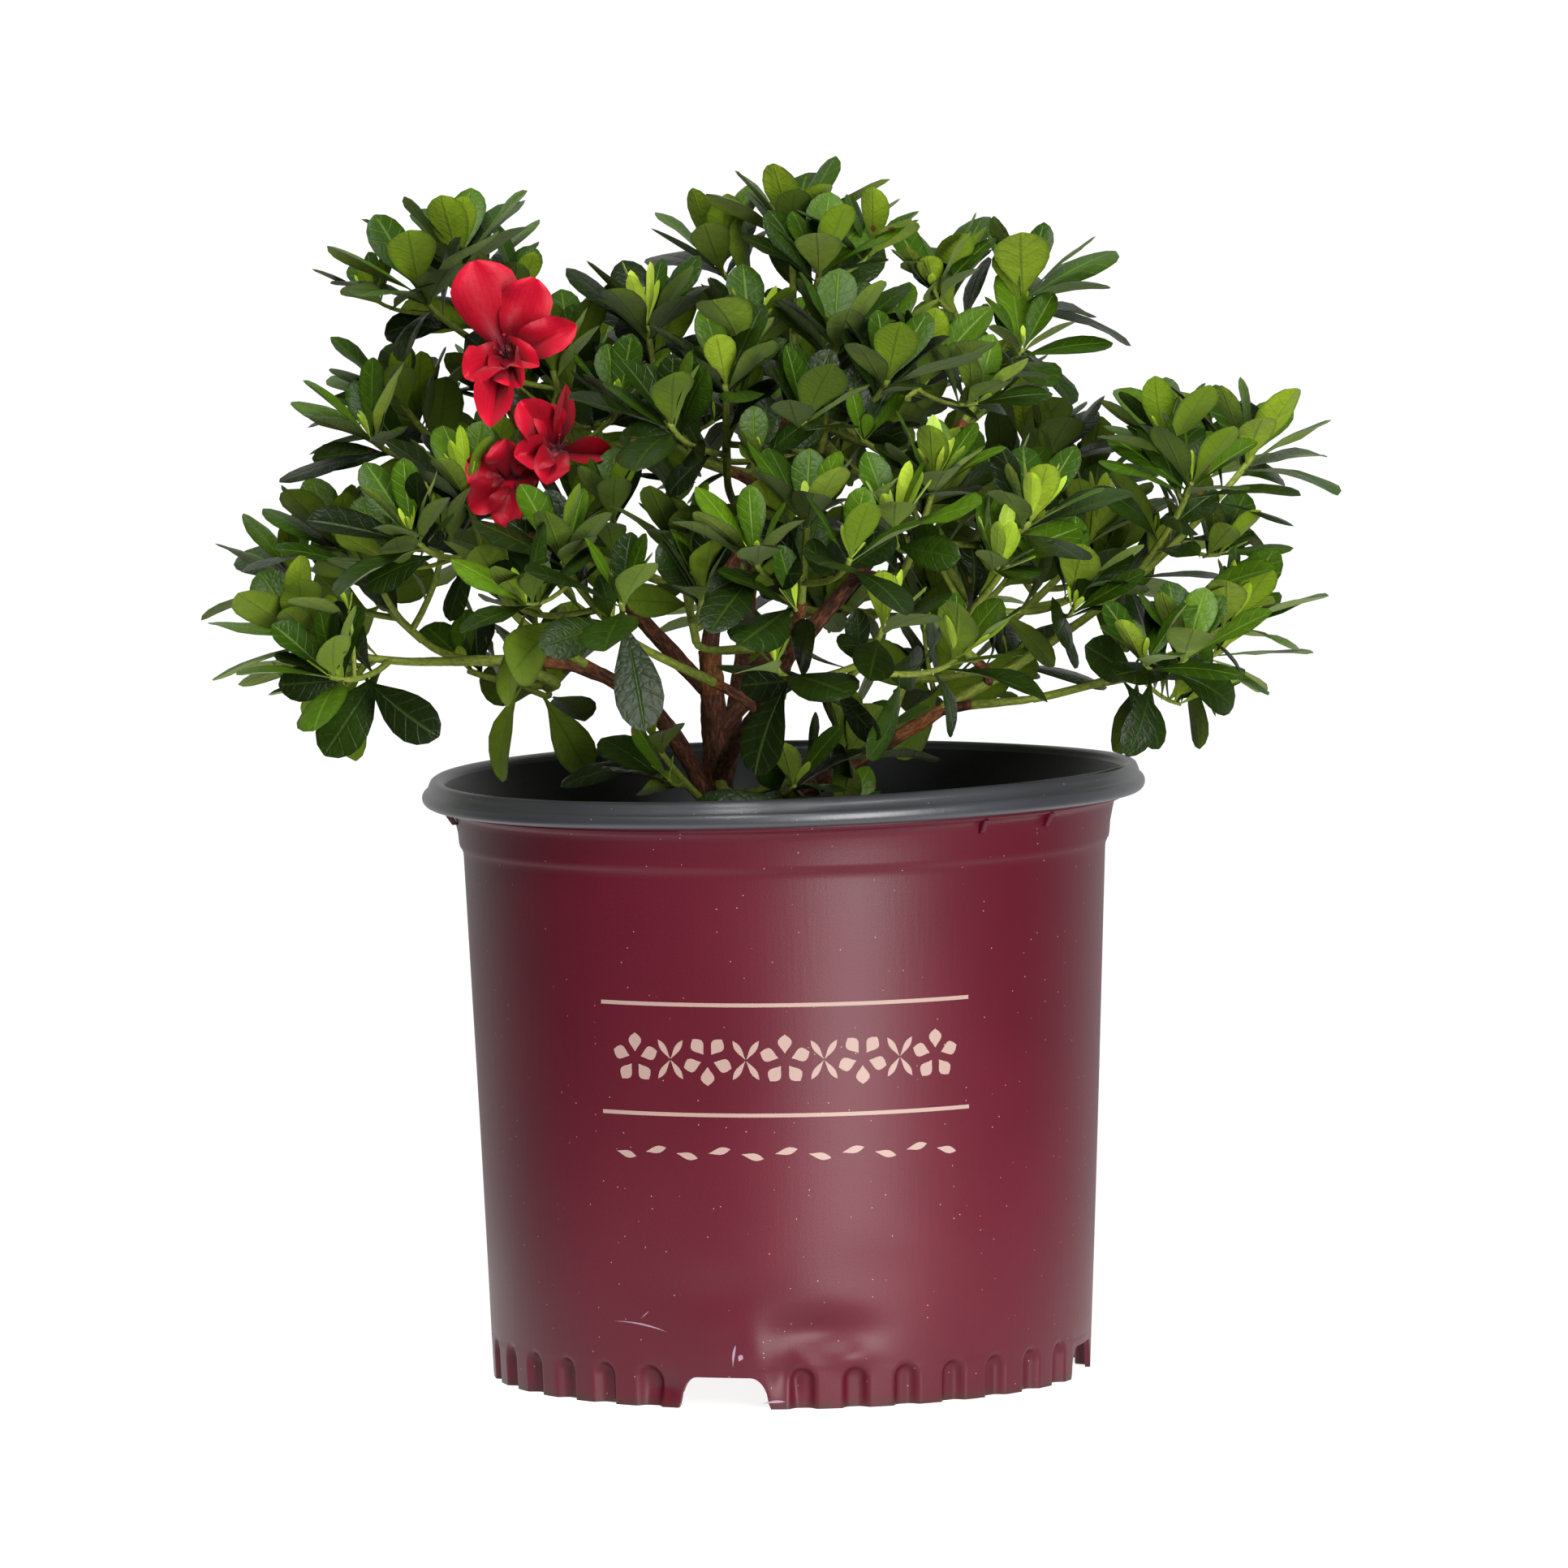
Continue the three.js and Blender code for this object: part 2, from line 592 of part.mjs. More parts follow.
// Where the leaves of a rosette go: for each its notch before it, left edge, tip and right edge.
function layOutRosette(name, twig, shoot, skeleton, random) {
  const count = twig === 0 ? ROSETTE.leaves : ROSETTE.sideLeaves;
  const head = shoot.curve.getPointAt(1);
  const square = squareTo(shoot.lean);
  const phase = random() * Math.PI * 2;
  const ring = [];
  const hub = head.clone().addScaledVector(shoot.lean, ROSETTE.notchRise);
  const notchAt = (angle) => hub.clone().addScaledVector(turned(square, angle), ROSETTE.notchRadius);
  let edge = phase;
  for (let i = 0; i < count; i++) {
    const young = i % 2 === 0;
    const slot = ((Math.PI * 2) / count) * (young ? ROSETTE.youngSlot : 2 - ROSETTE.youngSlot);
    const around = turned(square, edge + slot / 2);
    const pitch = (young ? ROSETTE.young : ROSETTE.old) + 12 * (random() - 0.5);
    const reach = LEAF.length * (young ? 0.92 : 1.06) * (0.92 + 0.16 * random());
    const room = (angle, size) => {
      const out = LEAF.widestAt * size * Math.sin(angle) - LEAF.thickness / 2;
      return 2 * out * Math.tan(slot * 0.41);
    };
    const leaf = fitLeaf(name, twig, head, shoot.lean, around, pitch, reach, room, skeleton);
    ring.push(notchAt(edge));
    if (leaf) ring.push(leaf.left, leaf.tip, leaf.right);
    else ring.push(notchAt(edge + slot * 0.25), notchAt(edge + slot * 0.5), notchAt(edge + slot * 0.75));
    edge += slot;
  }
  const slot = ((Math.PI * 2) / count) * ROSETTE.youngSlot;
  return { ring, phase: phase + slot, first: square[0] };
}

// A twig and its rosette as one closed surface. Its columns run gathered up the twig's edges, and open out
// at its head, four to a leaf and two leaves to an edge.
function twigSolid(shoot, { ring, phase, first }) {
  const columns = ring.length;
  const length = shoot.curve.getLength();
  const segments = 1 + Math.max(1, Math.round(length / 26));
  const geometry = new THREE.CylinderGeometry(1, 1, 1, columns, segments);
  const position = geometry.attributes.position;
  const neckShare = 1 - ROSETTE.neck / length;
  const head = shoot.curve.getPointAt(1);
  for (let i = 0; i < position.count; i++) {
    const [x, z] = [position.getX(i), position.getZ(i)];
    const row = Math.round((position.getY(i) + 0.5) * segments);
    const column = Math.round((Math.atan2(x, z) / (Math.PI * 2)) * columns + columns) % columns;
    const onAxis = Math.hypot(x, z) < 0.5;
    let point;
    if (row === segments) {
      point = onAxis ? head.clone().addScaledVector(shoot.lean, ROSETTE.bud) : ring[column];
    } else {
      const share = (row / (segments - 1)) * neckShare;
      const atNeck = row === segments - 1;
      const tangent = atNeck ? shoot.lean : shoot.curve.getTangentAt(share);
      const one = first.clone().projectOnPlane(tangent).normalize();
      const two = new THREE.Vector3().crossVectors(tangent, one);
      const angle = phase + (Math.floor(column / 8) * 16 * Math.PI) / columns;
      const radius = onAxis ? 0 : mix(shoot.radii[0], shoot.radii[1], share);
      point = atNeck ? head.clone().addScaledVector(tangent, -ROSETTE.neck) : shoot.curve.getPointAt(share);
      point.addScaledVector(one, Math.cos(angle) * radius).addScaledVector(two, Math.sin(angle) * radius);
    }
    position.setXYZ(i, point.x, point.y, point.z);
  }
  return solidOf(geometry);
}

// A single leaf on a stem: a thin keeled kite, its root sunk into the stem.
function stemLeafSolid(root, { left, tip, right }) {
  const geometry = new THREE.TetrahedronGeometry(1);
  const position = geometry.attributes.position;
  const sunkRoot = root.clone().addScaledVector(tip.clone().sub(root).normalize(), -LEAF.sunk);
  for (let i = 0; i < position.count; i++) {
    const onKeel = position.getZ(i) > 0;
    const ahead = position.getX(i) > 0;
    const corner = onKeel ? (ahead ? tip : sunkRoot) : ahead ? right : left;
    position.setXYZ(i, corner.x, corner.y, corner.z);
  }
  return solidOf(geometry);
}

function buildStemLeaves(name, shoot, skeleton, random) {
  const leaves = [];
  const phase = random() * Math.PI * 2;
  for (let j = 0; j < STEM_LEAVES.count; j++) {
    const share = mix(0.62, 0.28, j / STEM_LEAVES.count);
    const root = shoot.curve.getPointAt(share);
    const lean = shoot.curve.getTangentAt(share);
    const around = turned(squareTo(lean), phase + GOLDEN_ANGLE * j);
    const { pitch } = STEM_LEAVES;
    const room = () => LEAF.width;
    const leaf = fitLeaf(name, 0, root, lean, around, pitch, LEAF.length, room, skeleton);
    if (leaf) leaves.push(stemLeafSolid(root, leaf));
  }
  return leaves;
}

// A flower: a thin-walled funnel with five petal tips, on a stalk that runs back to the nearest shoot.
function buildBloom(bloom, shoots) {
  const throat = vector(bloom.at);
  const face = unit(bloom.face);
  const [first, second] = squareTo(face);
  const ends = shoots.map((shoot) => shoot.curve.getPointAt(0.8));
  ends.sort((a, b) => a.distanceTo(throat) - b.distanceTo(throat));
  const behind = throat.clone().addScaledVector(face, -bloom.radius * 0.6);
  const stalk = new THREE.QuadraticBezierCurve3(ends[0], behind, throat);
  const funnel = new THREE.SphereGeometry(1, 2 * PETALS.count, 2);
  const position = funnel.attributes.position;
  const opening = THREE.MathUtils.degToRad(bloom.opening);
  for (let i = 0; i < position.count; i++) {
    const [x, y, z] = [position.getX(i), position.getY(i), position.getZ(i)];
    const onRim = Math.abs(y) < 0.5;
    const petalTip = Math.round((Math.atan2(z, x) * PETALS.count) / Math.PI) % 2 === 0;
    const reach = onRim ? bloom.radius * (petalTip ? 1 : PETALS.notch) : 0;
    const ahead = onRim ? reach / Math.tan(opening) : PETALS.thickness * y;
    const point = throat.clone().addScaledVector(face, ahead);
    point.addScaledVector(first, z * reach).addScaledVector(second, x * reach);
    position.setXYZ(i, point.x, point.y, point.z);
  }
  return [limbSolid(stalk, taper([1.6, 2.4]), 4, 2), solidOf(funnel)];
}

function buildMasses(limbs, clearance) {
  const skeleton = new Skeleton();
  for (const limb of Object.values(limbs)) skeleton.addCurve(limb.name, 0, limb.curve);
  for (const [name, mass] of Object.entries(MASSES)) {
    skeleton.addCurve(name, 0, stemCurve(mass));
    skeleton.addPoint(name, 0, vector(mass.head).addScaledVector(unit(mass.lean), 14));
  }
  for (const bloom of BLOOMS) {
    for (const share of [-0.4, 0, 0.5]) {
      const at = vector(bloom.at).addScaledVector(unit(bloom.face), share * bloom.radius);
      skeleton.addPoint(bloom.in, "bloom", at);
    }
  }
  const plans = Object.entries(MASSES).map(([name, mass], index) => {
    const random = makeRandom(1000 + 37 * index);
    const shoots = layOutShoots(name, mass, skeleton, random);
    for (let twig = 1; twig < shoots.length; twig++) {
      const { curve, lean } = shoots[twig];
      skeleton.addCurve(name, twig, curve, 0.3);
      skeleton.addPoint(name, twig, curve.getPointAt(1).addScaledVector(lean, 12));
    }
    return { name, mass, shoots, random };
  });
  const masses = {};
  for (const { name, mass, shoots, random } of plans) {
    const stem = stemCurve(mass);
    const parts = shoots.map((shoot, twig) => {
      return twigSolid(shoot, layOutRosette(name, twig, shoot, skeleton, random));
    });
    parts.push(...buildStemLeaves(name, shoots[0], skeleton, random));
    for (const bloom of BLOOMS.filter((one) => one.in === name)) parts.push(...buildBloom(bloom, shoots));
    let solid = unionOf(parts);
    // The stem starts clear of the limb that carries it.
    const start = stem.getPointAt(0);
    if (mass.bare) {
      const carrier = limbs[mass.on];
      const root = carrier.curve.getPointAt(mass.at);
      const leave = start.clone().sub(root).normalize();
      const foot = bowedCurve(root, leave, stem.getPointAt(0.1), stem.getTangentAt(0.1), [0.3, 0.3]);
      solid = solid.add(limbSolid(foot, () => TWIG_RADII[0] * 1.15, 4, 2));
    } else {
      const clear = start.clone().addScaledVector(stem.getTangentAt(0), CLEARANCE);
      solid = solid.trimByPlane(stem.getTangentAt(0).toArray(), clear.dot(stem.getTangentAt(0)));
    }
    const carrier = mass.at === 1 ? mass.on : "bough_" + name;
    for (const [limb, around] of Object.entries(clearance)) {
      if (limb !== carrier) solid = solid.subtract(around);
    }
    masses[name] = largestBody(solid);
  }
  return masses;
}

// ---- the finished plant ----

const FINISH = {
  pot: new THREE.MeshStandardMaterial({ color: 0x6b2636, roughness: 0.42, metalness: 0 }),
  soil: new THREE.MeshStandardMaterial({ color: 0x2e2119, roughness: 0.95, metalness: 0 }),
  bark: new THREE.MeshStandardMaterial({ color: 0x5a3a26, roughness: 0.85, metalness: 0 }),
  greenBark: new THREE.MeshStandardMaterial({ color: 0x8c9644, roughness: 0.7, metalness: 0 }),
  foliage: new THREE.MeshStandardMaterial({ color: 0x4a6a26, roughness: 0.5, metalness: 0 }),
};

function buildShrub() {
  const shrub = new THREE.Group();
  const add = (name, geometry, material) => {
    const mesh = new THREE.Mesh(geometry, material);
    mesh.name = name;
    shrub.add(mesh);
  };
  add("pot", potGeometry(), FINISH.pot);
  add("soil", soilGeometry(), FINISH.soil);
  const limbs = layOutLimbs();
  const { built, clearance } = buildLimbs(limbs);
  for (const [name, solid] of Object.entries(built)) {
    add(name, geometryOf(solid), name.startsWith("bough") ? FINISH.greenBark : FINISH.bark);
  }
  for (const [name, solid] of Object.entries(buildMasses(limbs, clearance))) {
    add("mass_" + name, geometryOf(solid), FINISH.foliage);
  }
  return shrub;
}

export default buildShrub();
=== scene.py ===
import math
from functools import partial

import bpy
import numpy as np
from mathutils import Matrix, Vector, noise


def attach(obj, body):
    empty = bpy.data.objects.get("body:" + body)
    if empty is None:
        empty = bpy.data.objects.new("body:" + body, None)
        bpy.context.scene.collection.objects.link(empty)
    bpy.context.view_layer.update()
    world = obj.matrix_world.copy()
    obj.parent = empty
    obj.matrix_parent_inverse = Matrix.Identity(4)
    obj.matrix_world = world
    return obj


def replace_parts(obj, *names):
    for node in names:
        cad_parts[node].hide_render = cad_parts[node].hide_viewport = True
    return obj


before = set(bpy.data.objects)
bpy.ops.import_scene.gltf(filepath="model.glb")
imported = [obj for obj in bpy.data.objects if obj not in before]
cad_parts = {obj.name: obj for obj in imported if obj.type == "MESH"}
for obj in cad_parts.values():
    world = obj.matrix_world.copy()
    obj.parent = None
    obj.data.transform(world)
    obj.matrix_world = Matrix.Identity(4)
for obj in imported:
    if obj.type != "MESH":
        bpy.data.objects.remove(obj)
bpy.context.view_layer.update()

print("frame:", len(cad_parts), "nodes")

# An azalea in a maroon nursery pot. Shapes are worked out in millimetres and turned to metres in Heap.build.
metresPerMm = 0.001
goldenAngle = math.radians(137.508)
up = np.array([0.0, 0.0, 1.0])


def unit(numbers):
    numbers = np.asarray(numbers, float)
    return numbers / np.linalg.norm(numbers)


def mix(a, b, share):
    return a + (b - a) * share


def easeStep(low, high, value):
    share = np.clip((value - low) / (high - low), 0, 1)
    return share * share * (3 - 2 * share)


def makeRandom(seed):    # a Lehmer generator, so that every run draws the same plant
    state = seed

    def draw():
        nonlocal state
        state = (state * 16807) % 2147483647
        return state / 2147483647
    return draw


def turned(square, angle):    # the first direction of a pair, turned towards the second
    return square[0] * math.cos(angle) + square[1] * math.sin(angle)


def squareTo(direction):    # two unit directions square to a third
    aside = np.array([1.0, 0, 0]) if abs(direction[2]) > 0.9 else up
    first = unit(np.cross(direction, aside))
    return first, np.cross(direction, first)


class Curve:    # point and tangent at a share of its own length
    def __init__(self, at):
        self.at = at
        self.ticks = np.linspace(0, 1, 201)
        spots = np.array([at(t) for t in self.ticks])
        steps = np.linalg.norm(np.diff(spots, axis=0), axis=1)
        self.run = np.concatenate([[0], np.cumsum(steps)])
        self.length = self.run[-1]

    def tick(self, share):
        return float(np.interp(share * self.length, self.run, self.ticks))

    def point(self, share):
        return self.at(self.tick(share))

    def tangent(self, share):
        t = self.tick(share)
        return unit(self.at(min(1, t + 1e-4)) - self.at(max(0, t - 1e-4)))


def bezier(*corners):
    corners = [np.asarray(corner, float) for corner in corners]

    def at(t):
        layer = corners
        while len(layer) > 1:
            layer = [a + (b - a) * t for a, b in zip(layer, layer[1:])]
        return layer[0]
    return Curve(at)


def splineThrough(points):    # centripetal Catmull-Rom
    points = [np.asarray(point, float) for point in points]
    padded = [2 * points[0] - points[1], *points, 2 * points[-1] - points[-2]]

    def at(t):
        spot = t * (len(points) - 1)
        i = min(int(spot), len(points) - 2)
        w = spot - i
        p0, p1, p2, p3 = padded[i:i + 4]
        d0, d1, d2 = [np.linalg.norm(b - a) ** 0.5 for a, b in ((p0, p1), (p1, p2), (p2, p3))]
        m1 = ((p1 - p0) / d0 - (p2 - p0) / (d0 + d1) + (p2 - p1) / d1) * d1
        m2 = ((p2 - p1) / d1 - (p3 - p1) / (d1 + d2) + (p3 - p2) / d2) * d1
        return p1 + m1 * w + (3 * (p2 - p1) - 2 * m1 - m2) * w ** 2 + (2 * (p1 - p2) + m1 + m2) * w ** 3
    return Curve(at)


def ringFaces(rows, columns, start=0, flip=False):    # quads between closed rings of points
    faces = []
    for row in range(rows):
        for i in range(columns):
            a, b = start + row * columns + i, start + row * columns + (i + 1) % columns
            faces.append((a, a + columns, b + columns, b) if flip else (a, b, b + columns, a + columns))
    return faces


class Heap:    # gathers shapes into one mesh: points in mm, and at each a place that the materials read
    def __init__(self):
        self.points, self.places, self.faces, self.slots, self.count = [], [], [], [], 0

    def add(self, points, faces, slots=None, places=None):    # one closed shape at a time
        points = np.asarray(points, float)
        fans = np.array([(face[0], face[i], face[i + 1]) for face in faces for i in range(1, len(face) - 1)])
        p, q, r = (points - points.mean(axis=0))[fans].transpose(1, 0, 2)
        if np.sum(p * np.cross(q, r)) < 0:    # inside out, so its faces are turned to look outwards
            faces = [(face[0], *face[:0:-1]) for face in faces]
        self.points.append(points)
        self.places.append(np.zeros_like(points) if places is None else np.asarray(places, float))
        self.faces += [tuple(corner + self.count for corner in face) for face in faces]
        self.slots += slots or [0] * len(faces)
        self.count += len(points)

    def build(self, name, materials, slotName, sharp):    # sharp: the angle from which an edge isn't smoothed
        mesh = bpy.data.meshes.new(name)
        mesh.from_pydata((np.concatenate(self.points) * metresPerMm).tolist(), [], self.faces)
        for material in materials:
            mesh.materials.append(material)
        mesh.polygons.foreach_set("material_index", np.array(self.slots, np.int32))
        layer = mesh.attributes.new("place", "FLOAT_VECTOR", "POINT")
        layer.data.foreach_set("vector", np.concatenate(self.places).astype(np.float32).ravel())
        mesh.validate()
        mesh.shade_smooth()
        mesh.set_sharp_from_angle(angle=math.radians(sharp))
        piece = bpy.data.objects.new(name, mesh)
        bpy.context.scene.collection.objects.link(piece)
        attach(piece, "root")
        return piece


def linear(hexColour):    # an sRGB colour as the linear one that shaders take
    channels = [int(hexColour[i:i + 2], 16) / 255 for i in (1, 3, 5)]
    return (*[c / 12.92 if c <= 0.04045 else ((c + 0.055) / 1.055) ** 2.4 for c in channels], 1.0)


def feed(tree, node, links):    # links: what feeds each input: a socket, or a node for its first output in use
    for key, source in links.items():
        if isinstance(source, bpy.types.Node):
            source = next(output for output in source.outputs if output.enabled)
        tree.links.new(source, node.inputs[key])


def addNode(tree, kind, settings, *sources, **links):
    # settings: a node's own options, or the values of its inputs, a colour as a hex string
    # sources: what feeds its inputs in their order, None for one to pass over; links: what feeds an input by name
    node = tree.nodes.new("ShaderNode" + kind)
    for key, value in settings.items():
        if key == "stops":    # a colour ramp's places and colours
            elements = node.color_ramp.elements
            while len(elements) < len(value):
                elements.new(0.5)
            for element, (position, colour) in zip(elements, value):
                element.position, element.color = position, linear(colour)
        elif isinstance(key, str) and hasattr(node, key):
            setattr(node, key, value)
        else:
            node.inputs[key].default_value = linear(value) if isinstance(value, str) else value
    used = [i for i, socket in enumerate(node.inputs) if socket.enabled]
    feed(tree, node, {i: source for i, source in zip(used, sources) if source} | links)
    return node


def newMaterial(name, settings):    # with what adds a node to it, and what feeds its shader
    material = bpy.data.materials.new(name)
    material.use_nodes = True
    tree = material.node_tree
    tree.nodes.clear()
    shader = addNode(tree, "BsdfPrincipled", settings)
    addNode(tree, "OutputMaterial", {}, shader)
    return material, partial(addNode, tree), partial(feed, tree, shader)


def cellsOf(mm):    # the scale that draws a pattern that many millimetres coarse on coordinates in metres
    return 1 / (mm * metresPerMm)


def mouldedPolypropylene(name, look):
    # Thin blow-moulded polypropylene: a low satin gloss, faint draw lines up the wall, dust and soil at the foot.
    material, add, dress = newMaterial(name, {"IOR": 1.49, "Specular IOR Level": look["shine"]})
    coords = add("TexCoord", {}).outputs["Object"]
    height = add("SeparateXYZ", {}, coords).outputs["Z"]
    clouds = add("TexNoise", {"Scale": cellsOf(111.1), "Detail": 3}, coords)    # in the dye
    dye = add("ValToRGB", {"stops": [(0.3, look["deep"]), (0.7, look["base"])]}, clouds)
    # dust specks 0.5 mm across, in one of five cells of 2.6 mm
    dustCells = add("TexVoronoi", {"Scale": cellsOf(2.6)}, coords)
    dustSize = add("Math", {"operation": "LESS_THAN", 1: 0.085}, dustCells)
    dustPick = add("SeparateColor", {}, dustCells.outputs["Color"])
    dustFew = add("Math", {"operation": "GREATER_THAN", 1: 0.8}, dustPick)
    dust = add("Math", {"operation": "MULTIPLY"}, dustSize, dustFew)
    # soil stain in the lowest 4 mm, broken by 6 mm patches
    low = add("MapRange", {"From Min": 4 * metresPerMm, "From Max": 0.0, "To Max": 1.2}, height)
    patches = add("TexNoise", {"Scale": cellsOf(6.25), "Detail": 4}, coords)
    stain = add("Math", {"operation": "MULTIPLY"}, low, patches)
    colour = dye
    for share, over in ((dust, look["dust"]), (stain, look["stain"])):
        colour = add("Mix", {"data_type": "RGBA", "B": over}, share, colour)
    # draw lines 2 mm apart up the wall and a fine 0.5 mm grain
    tall = add("Mapping", {"Scale": (1, 1, 0.06)}, coords)
    lines = add("TexNoise", {"Scale": cellsOf(2.083), "Detail": 2}, tall)
    grain = add("TexNoise", {"Scale": cellsOf(0.5), "Detail": 1}, coords)
    relief = add("Math", {"operation": "ADD"}, lines, grain)
    bump = add("Bump", {"Strength": look["relief"], "Distance": 0.2 * metresPerMm}, Height=relief)
    rough = add("MapRange", {"To Min": look["roughness"] - 0.05, "To Max": look["roughness"] + 0.08}, clouds)
    dress({"Base Color": colour, "Normal": bump, "Roughness": rough})
    return material


def leafSkin(name, look):
    # Leathery leaf skin: a waxy upper face with a sunk pale midrib and net of veins, or a matt pale lower one.
    material, add, dress = newMaterial(name, {
        "IOR": 1.45, "Specular IOR Level": look["shine"], "Roughness": look["roughness"],
        "Sheen Weight": look["sheen"], "Sheen Roughness": 0.5})
    coords = add("TexCoord", {}).outputs["Object"]
    place = add("Attribute", {"attribute_name": "place"}).outputs["Vector"]
    split = add("SeparateXYZ", {}, place)    # across, along, the leaf's own number
    across = add("Math", {"operation": "ABSOLUTE"}, split)
    tone = add("ValToRGB", {"stops": list(zip((0.0, 0.5, 1.0), look["tones"]))}, split.outputs["Z"])
    mottle = add("TexNoise", {"Scale": cellsOf(3.846), "Detail": 3}, coords)    # 4 mm patches
    mottleShare = add("MapRange", {"From Min": 0.35, "From Max": 0.75, "To Max": 0.45}, mottle)
    # side veins leave the midrib forwards, seven to a side
    slant = add("Math", {"operation": "MULTIPLY_ADD", 1: -0.16}, across, None, split.outputs["Y"])
    waves = add("Math", {"operation": "MULTIPLY", 1: 7 * 2 * math.pi}, slant)
    crest = add("Math", {"operation": "SINE"}, waves)
    veins = add("MapRange", {"From Min": 0.86, "From Max": 1.0, "To Max": 0.38}, crest)
    midrib = add("MapRange", {"From Min": 0.1, "From Max": 0.02}, across)
    lines = add("Math", {"operation": "MAXIMUM"}, veins, midrib)
    lineShare = add("Math", {"operation": "MULTIPLY", 1: look["veinShare"]}, lines)
    # a darker rolled margin, and brown flecks in one of forty cells of 7 mm
    margin = add("MapRange", {"From Min": 0.8, "From Max": 1.0, "To Max": 0.5}, across)
    cells = add("TexVoronoi", {"Scale": cellsOf(7.143)}, coords)
    fleckSize = add("Math", {"operation": "LESS_THAN", 1: 0.2}, cells)
    fleckPick = add("SeparateColor", {}, cells.outputs["Color"]).outputs["Green"]
    fleckFew = add("Math", {"operation": "GREATER_THAN", 1: 0.975}, fleckPick)
    fleck = add("Math", {"operation": "MULTIPLY"}, fleckSize, fleckFew)
    colour = tone
    for share, over in ((mottleShare, look["mottle"]), (lineShare, look["vein"]), (margin, look["margin"]),
                        (fleck, "#5a4420")):
        colour = add("Mix", {"data_type": "RGBA", "B": over}, share, colour)
    # the finest veins close into a net of 2.8 mm cells that swell between them, drawn coarser than life to show
    net = add("TexVoronoi", {"feature": "DISTANCE_TO_EDGE", "Scale": cellsOf(2.8)}, coords)
    swell = add("MapRange", {"From Max": 0.3, "To Max": look["net"]}, net)
    quilt = add("Math", {"operation": "MULTIPLY_ADD", 1: look["veinRelief"]}, lines, None, swell)
    bump = add("Bump", {"Strength": 0.55, "Distance": 0.4 * metresPerMm}, Height=quilt)
    dress({"Base Color": colour, "Normal": bump})
    return material


def barkSkin(name, look):
    # Bark in long ridges: dark furrows between lighter flaking plates, dull all over.
    material, add, dress = newMaterial(name, {"Roughness": 0.82, "IOR": 1.45, "Specular IOR Level": 0.35})
    place = add("Attribute", {"attribute_name": "place"}).outputs["Vector"]    # round and along the limb, mm
    along = add("Mapping", {"Scale": (1, 1, look["stretch"])}, place)
    ridges = add("TexNoise", {"Scale": 1 / look["ridgeWidth"], "Detail": 5, "Roughness": 0.6}, along)
    colour = add("ValToRGB", {"stops": look["stops"]}, ridges)
    spots = add("TexVoronoi", {"Scale": 1 / look["spotPitch"]}, place)
    spotShare = add("MapRange", {"From Min": 0.22, "From Max": 0.12, "To Max": look["spotShare"]}, spots)
    spotted = add("Mix", {"data_type": "RGBA", "B": look["spotColour"]}, spotShare, colour)
    bump = add("Bump", {"Strength": 0.7, "Distance": look["depth"] * metresPerMm}, Height=ridges)
    dress({"Base Color": spotted, "Normal": bump})
    return material


def petalSkin(name, look):
    # Soft petal tissue: a velvety sheen, finer veins fanning out, deeper colour in the throat.
    material, add, dress = newMaterial(name, {"Roughness": 0.5, "IOR": 1.4, "Specular IOR Level": 0.3,
                                              "Sheen Weight": 0.12, "Sheen Roughness": 0.4})
    place = add("Attribute", {"attribute_name": "place"}).outputs["Vector"]
    split = add("SeparateXYZ", {}, place)    # across, along, the petal's own number
    colour = add("ValToRGB", {"stops": look["stops"]}, split.outputs["Y"])
    fan = add("Math", {"operation": "MULTIPLY", 1: 34}, split)    # radians from rim to rim, about 11 veins
    crest = add("Math", {"operation": "SINE"}, fan)
    veins = add("MapRange", {"From Min": 0.5, "From Max": 1.0, "To Max": 0.3}, crest)
    veined = add("Mix", {"data_type": "RGBA", "B": look["vein"]}, veins, colour)
    coords = add("TexCoord", {}).outputs["Object"]
    crinkle = add("TexNoise", {"Scale": cellsOf(2.381), "Detail": 3}, coords)    # 2.4 mm crinkles
    bump = add("Bump", {"Strength": 0.35, "Distance": 0.5 * metresPerMm}, Height=crinkle)
    dress({"Base Color": veined, "Normal": bump})
    return material


def crumbledMix(name, look):
    # Composted bark and peat: dull crumbs of several browns.
    material, add, dress = newMaterial(name, {"Roughness": 0.95, "Specular IOR Level": 0.2})
    coords = add("TexCoord", {}).outputs["Object"]
    crumbs = add("TexVoronoi", {"Scale": cellsOf(4.348)}, coords)    # 4 mm crumbs
    pick = add("SeparateColor", {}, crumbs.outputs["Color"])
    colour = add("ValToRGB", {"stops": look["stops"]}, pick)
    fine = add("TexNoise", {"Scale": cellsOf(1.111), "Detail": 4}, coords)    # 1 mm grit on them
    bump = add("Bump", {"Strength": 0.8, "Distance": 1.2 * metresPerMm}, Height=fine)
    dress({"Base Color": colour, "Normal": bump})
    return material


potPlastic = mouldedPolypropylene("maroonMouldedPolypropylene", {
    "base": "#581022", "deep": "#4c0d1c", "dust": "#a88a80", "stain": "#33261c",
    "roughness": 0.42, "relief": 0.18, "shine": 0.34})
lipPlastic = mouldedPolypropylene("blackMouldedPolypropylene", {
    "base": "#36373c", "deep": "#2b2c30", "dust": "#8b8b8b", "stain": "#4a4238",
    "roughness": 0.34, "relief": 0.22, "shine": 0.8})
linerPlastic = mouldedPolypropylene("innerLayerPolypropylene", {
    "base": "#15161a", "deep": "#0f1013", "dust": "#55504a", "stain": "#2a241e",
    "roughness": 0.42, "relief": 0.3, "shine": 0.45})
printInk = mouldedPolypropylene("creamScreenInk", {
    "base": "#a98f86", "deep": "#9c8078", "dust": "#c9b4ac", "stain": "#8a7a70",
    "roughness": 0.5, "relief": 0.1, "shine": 0.3})
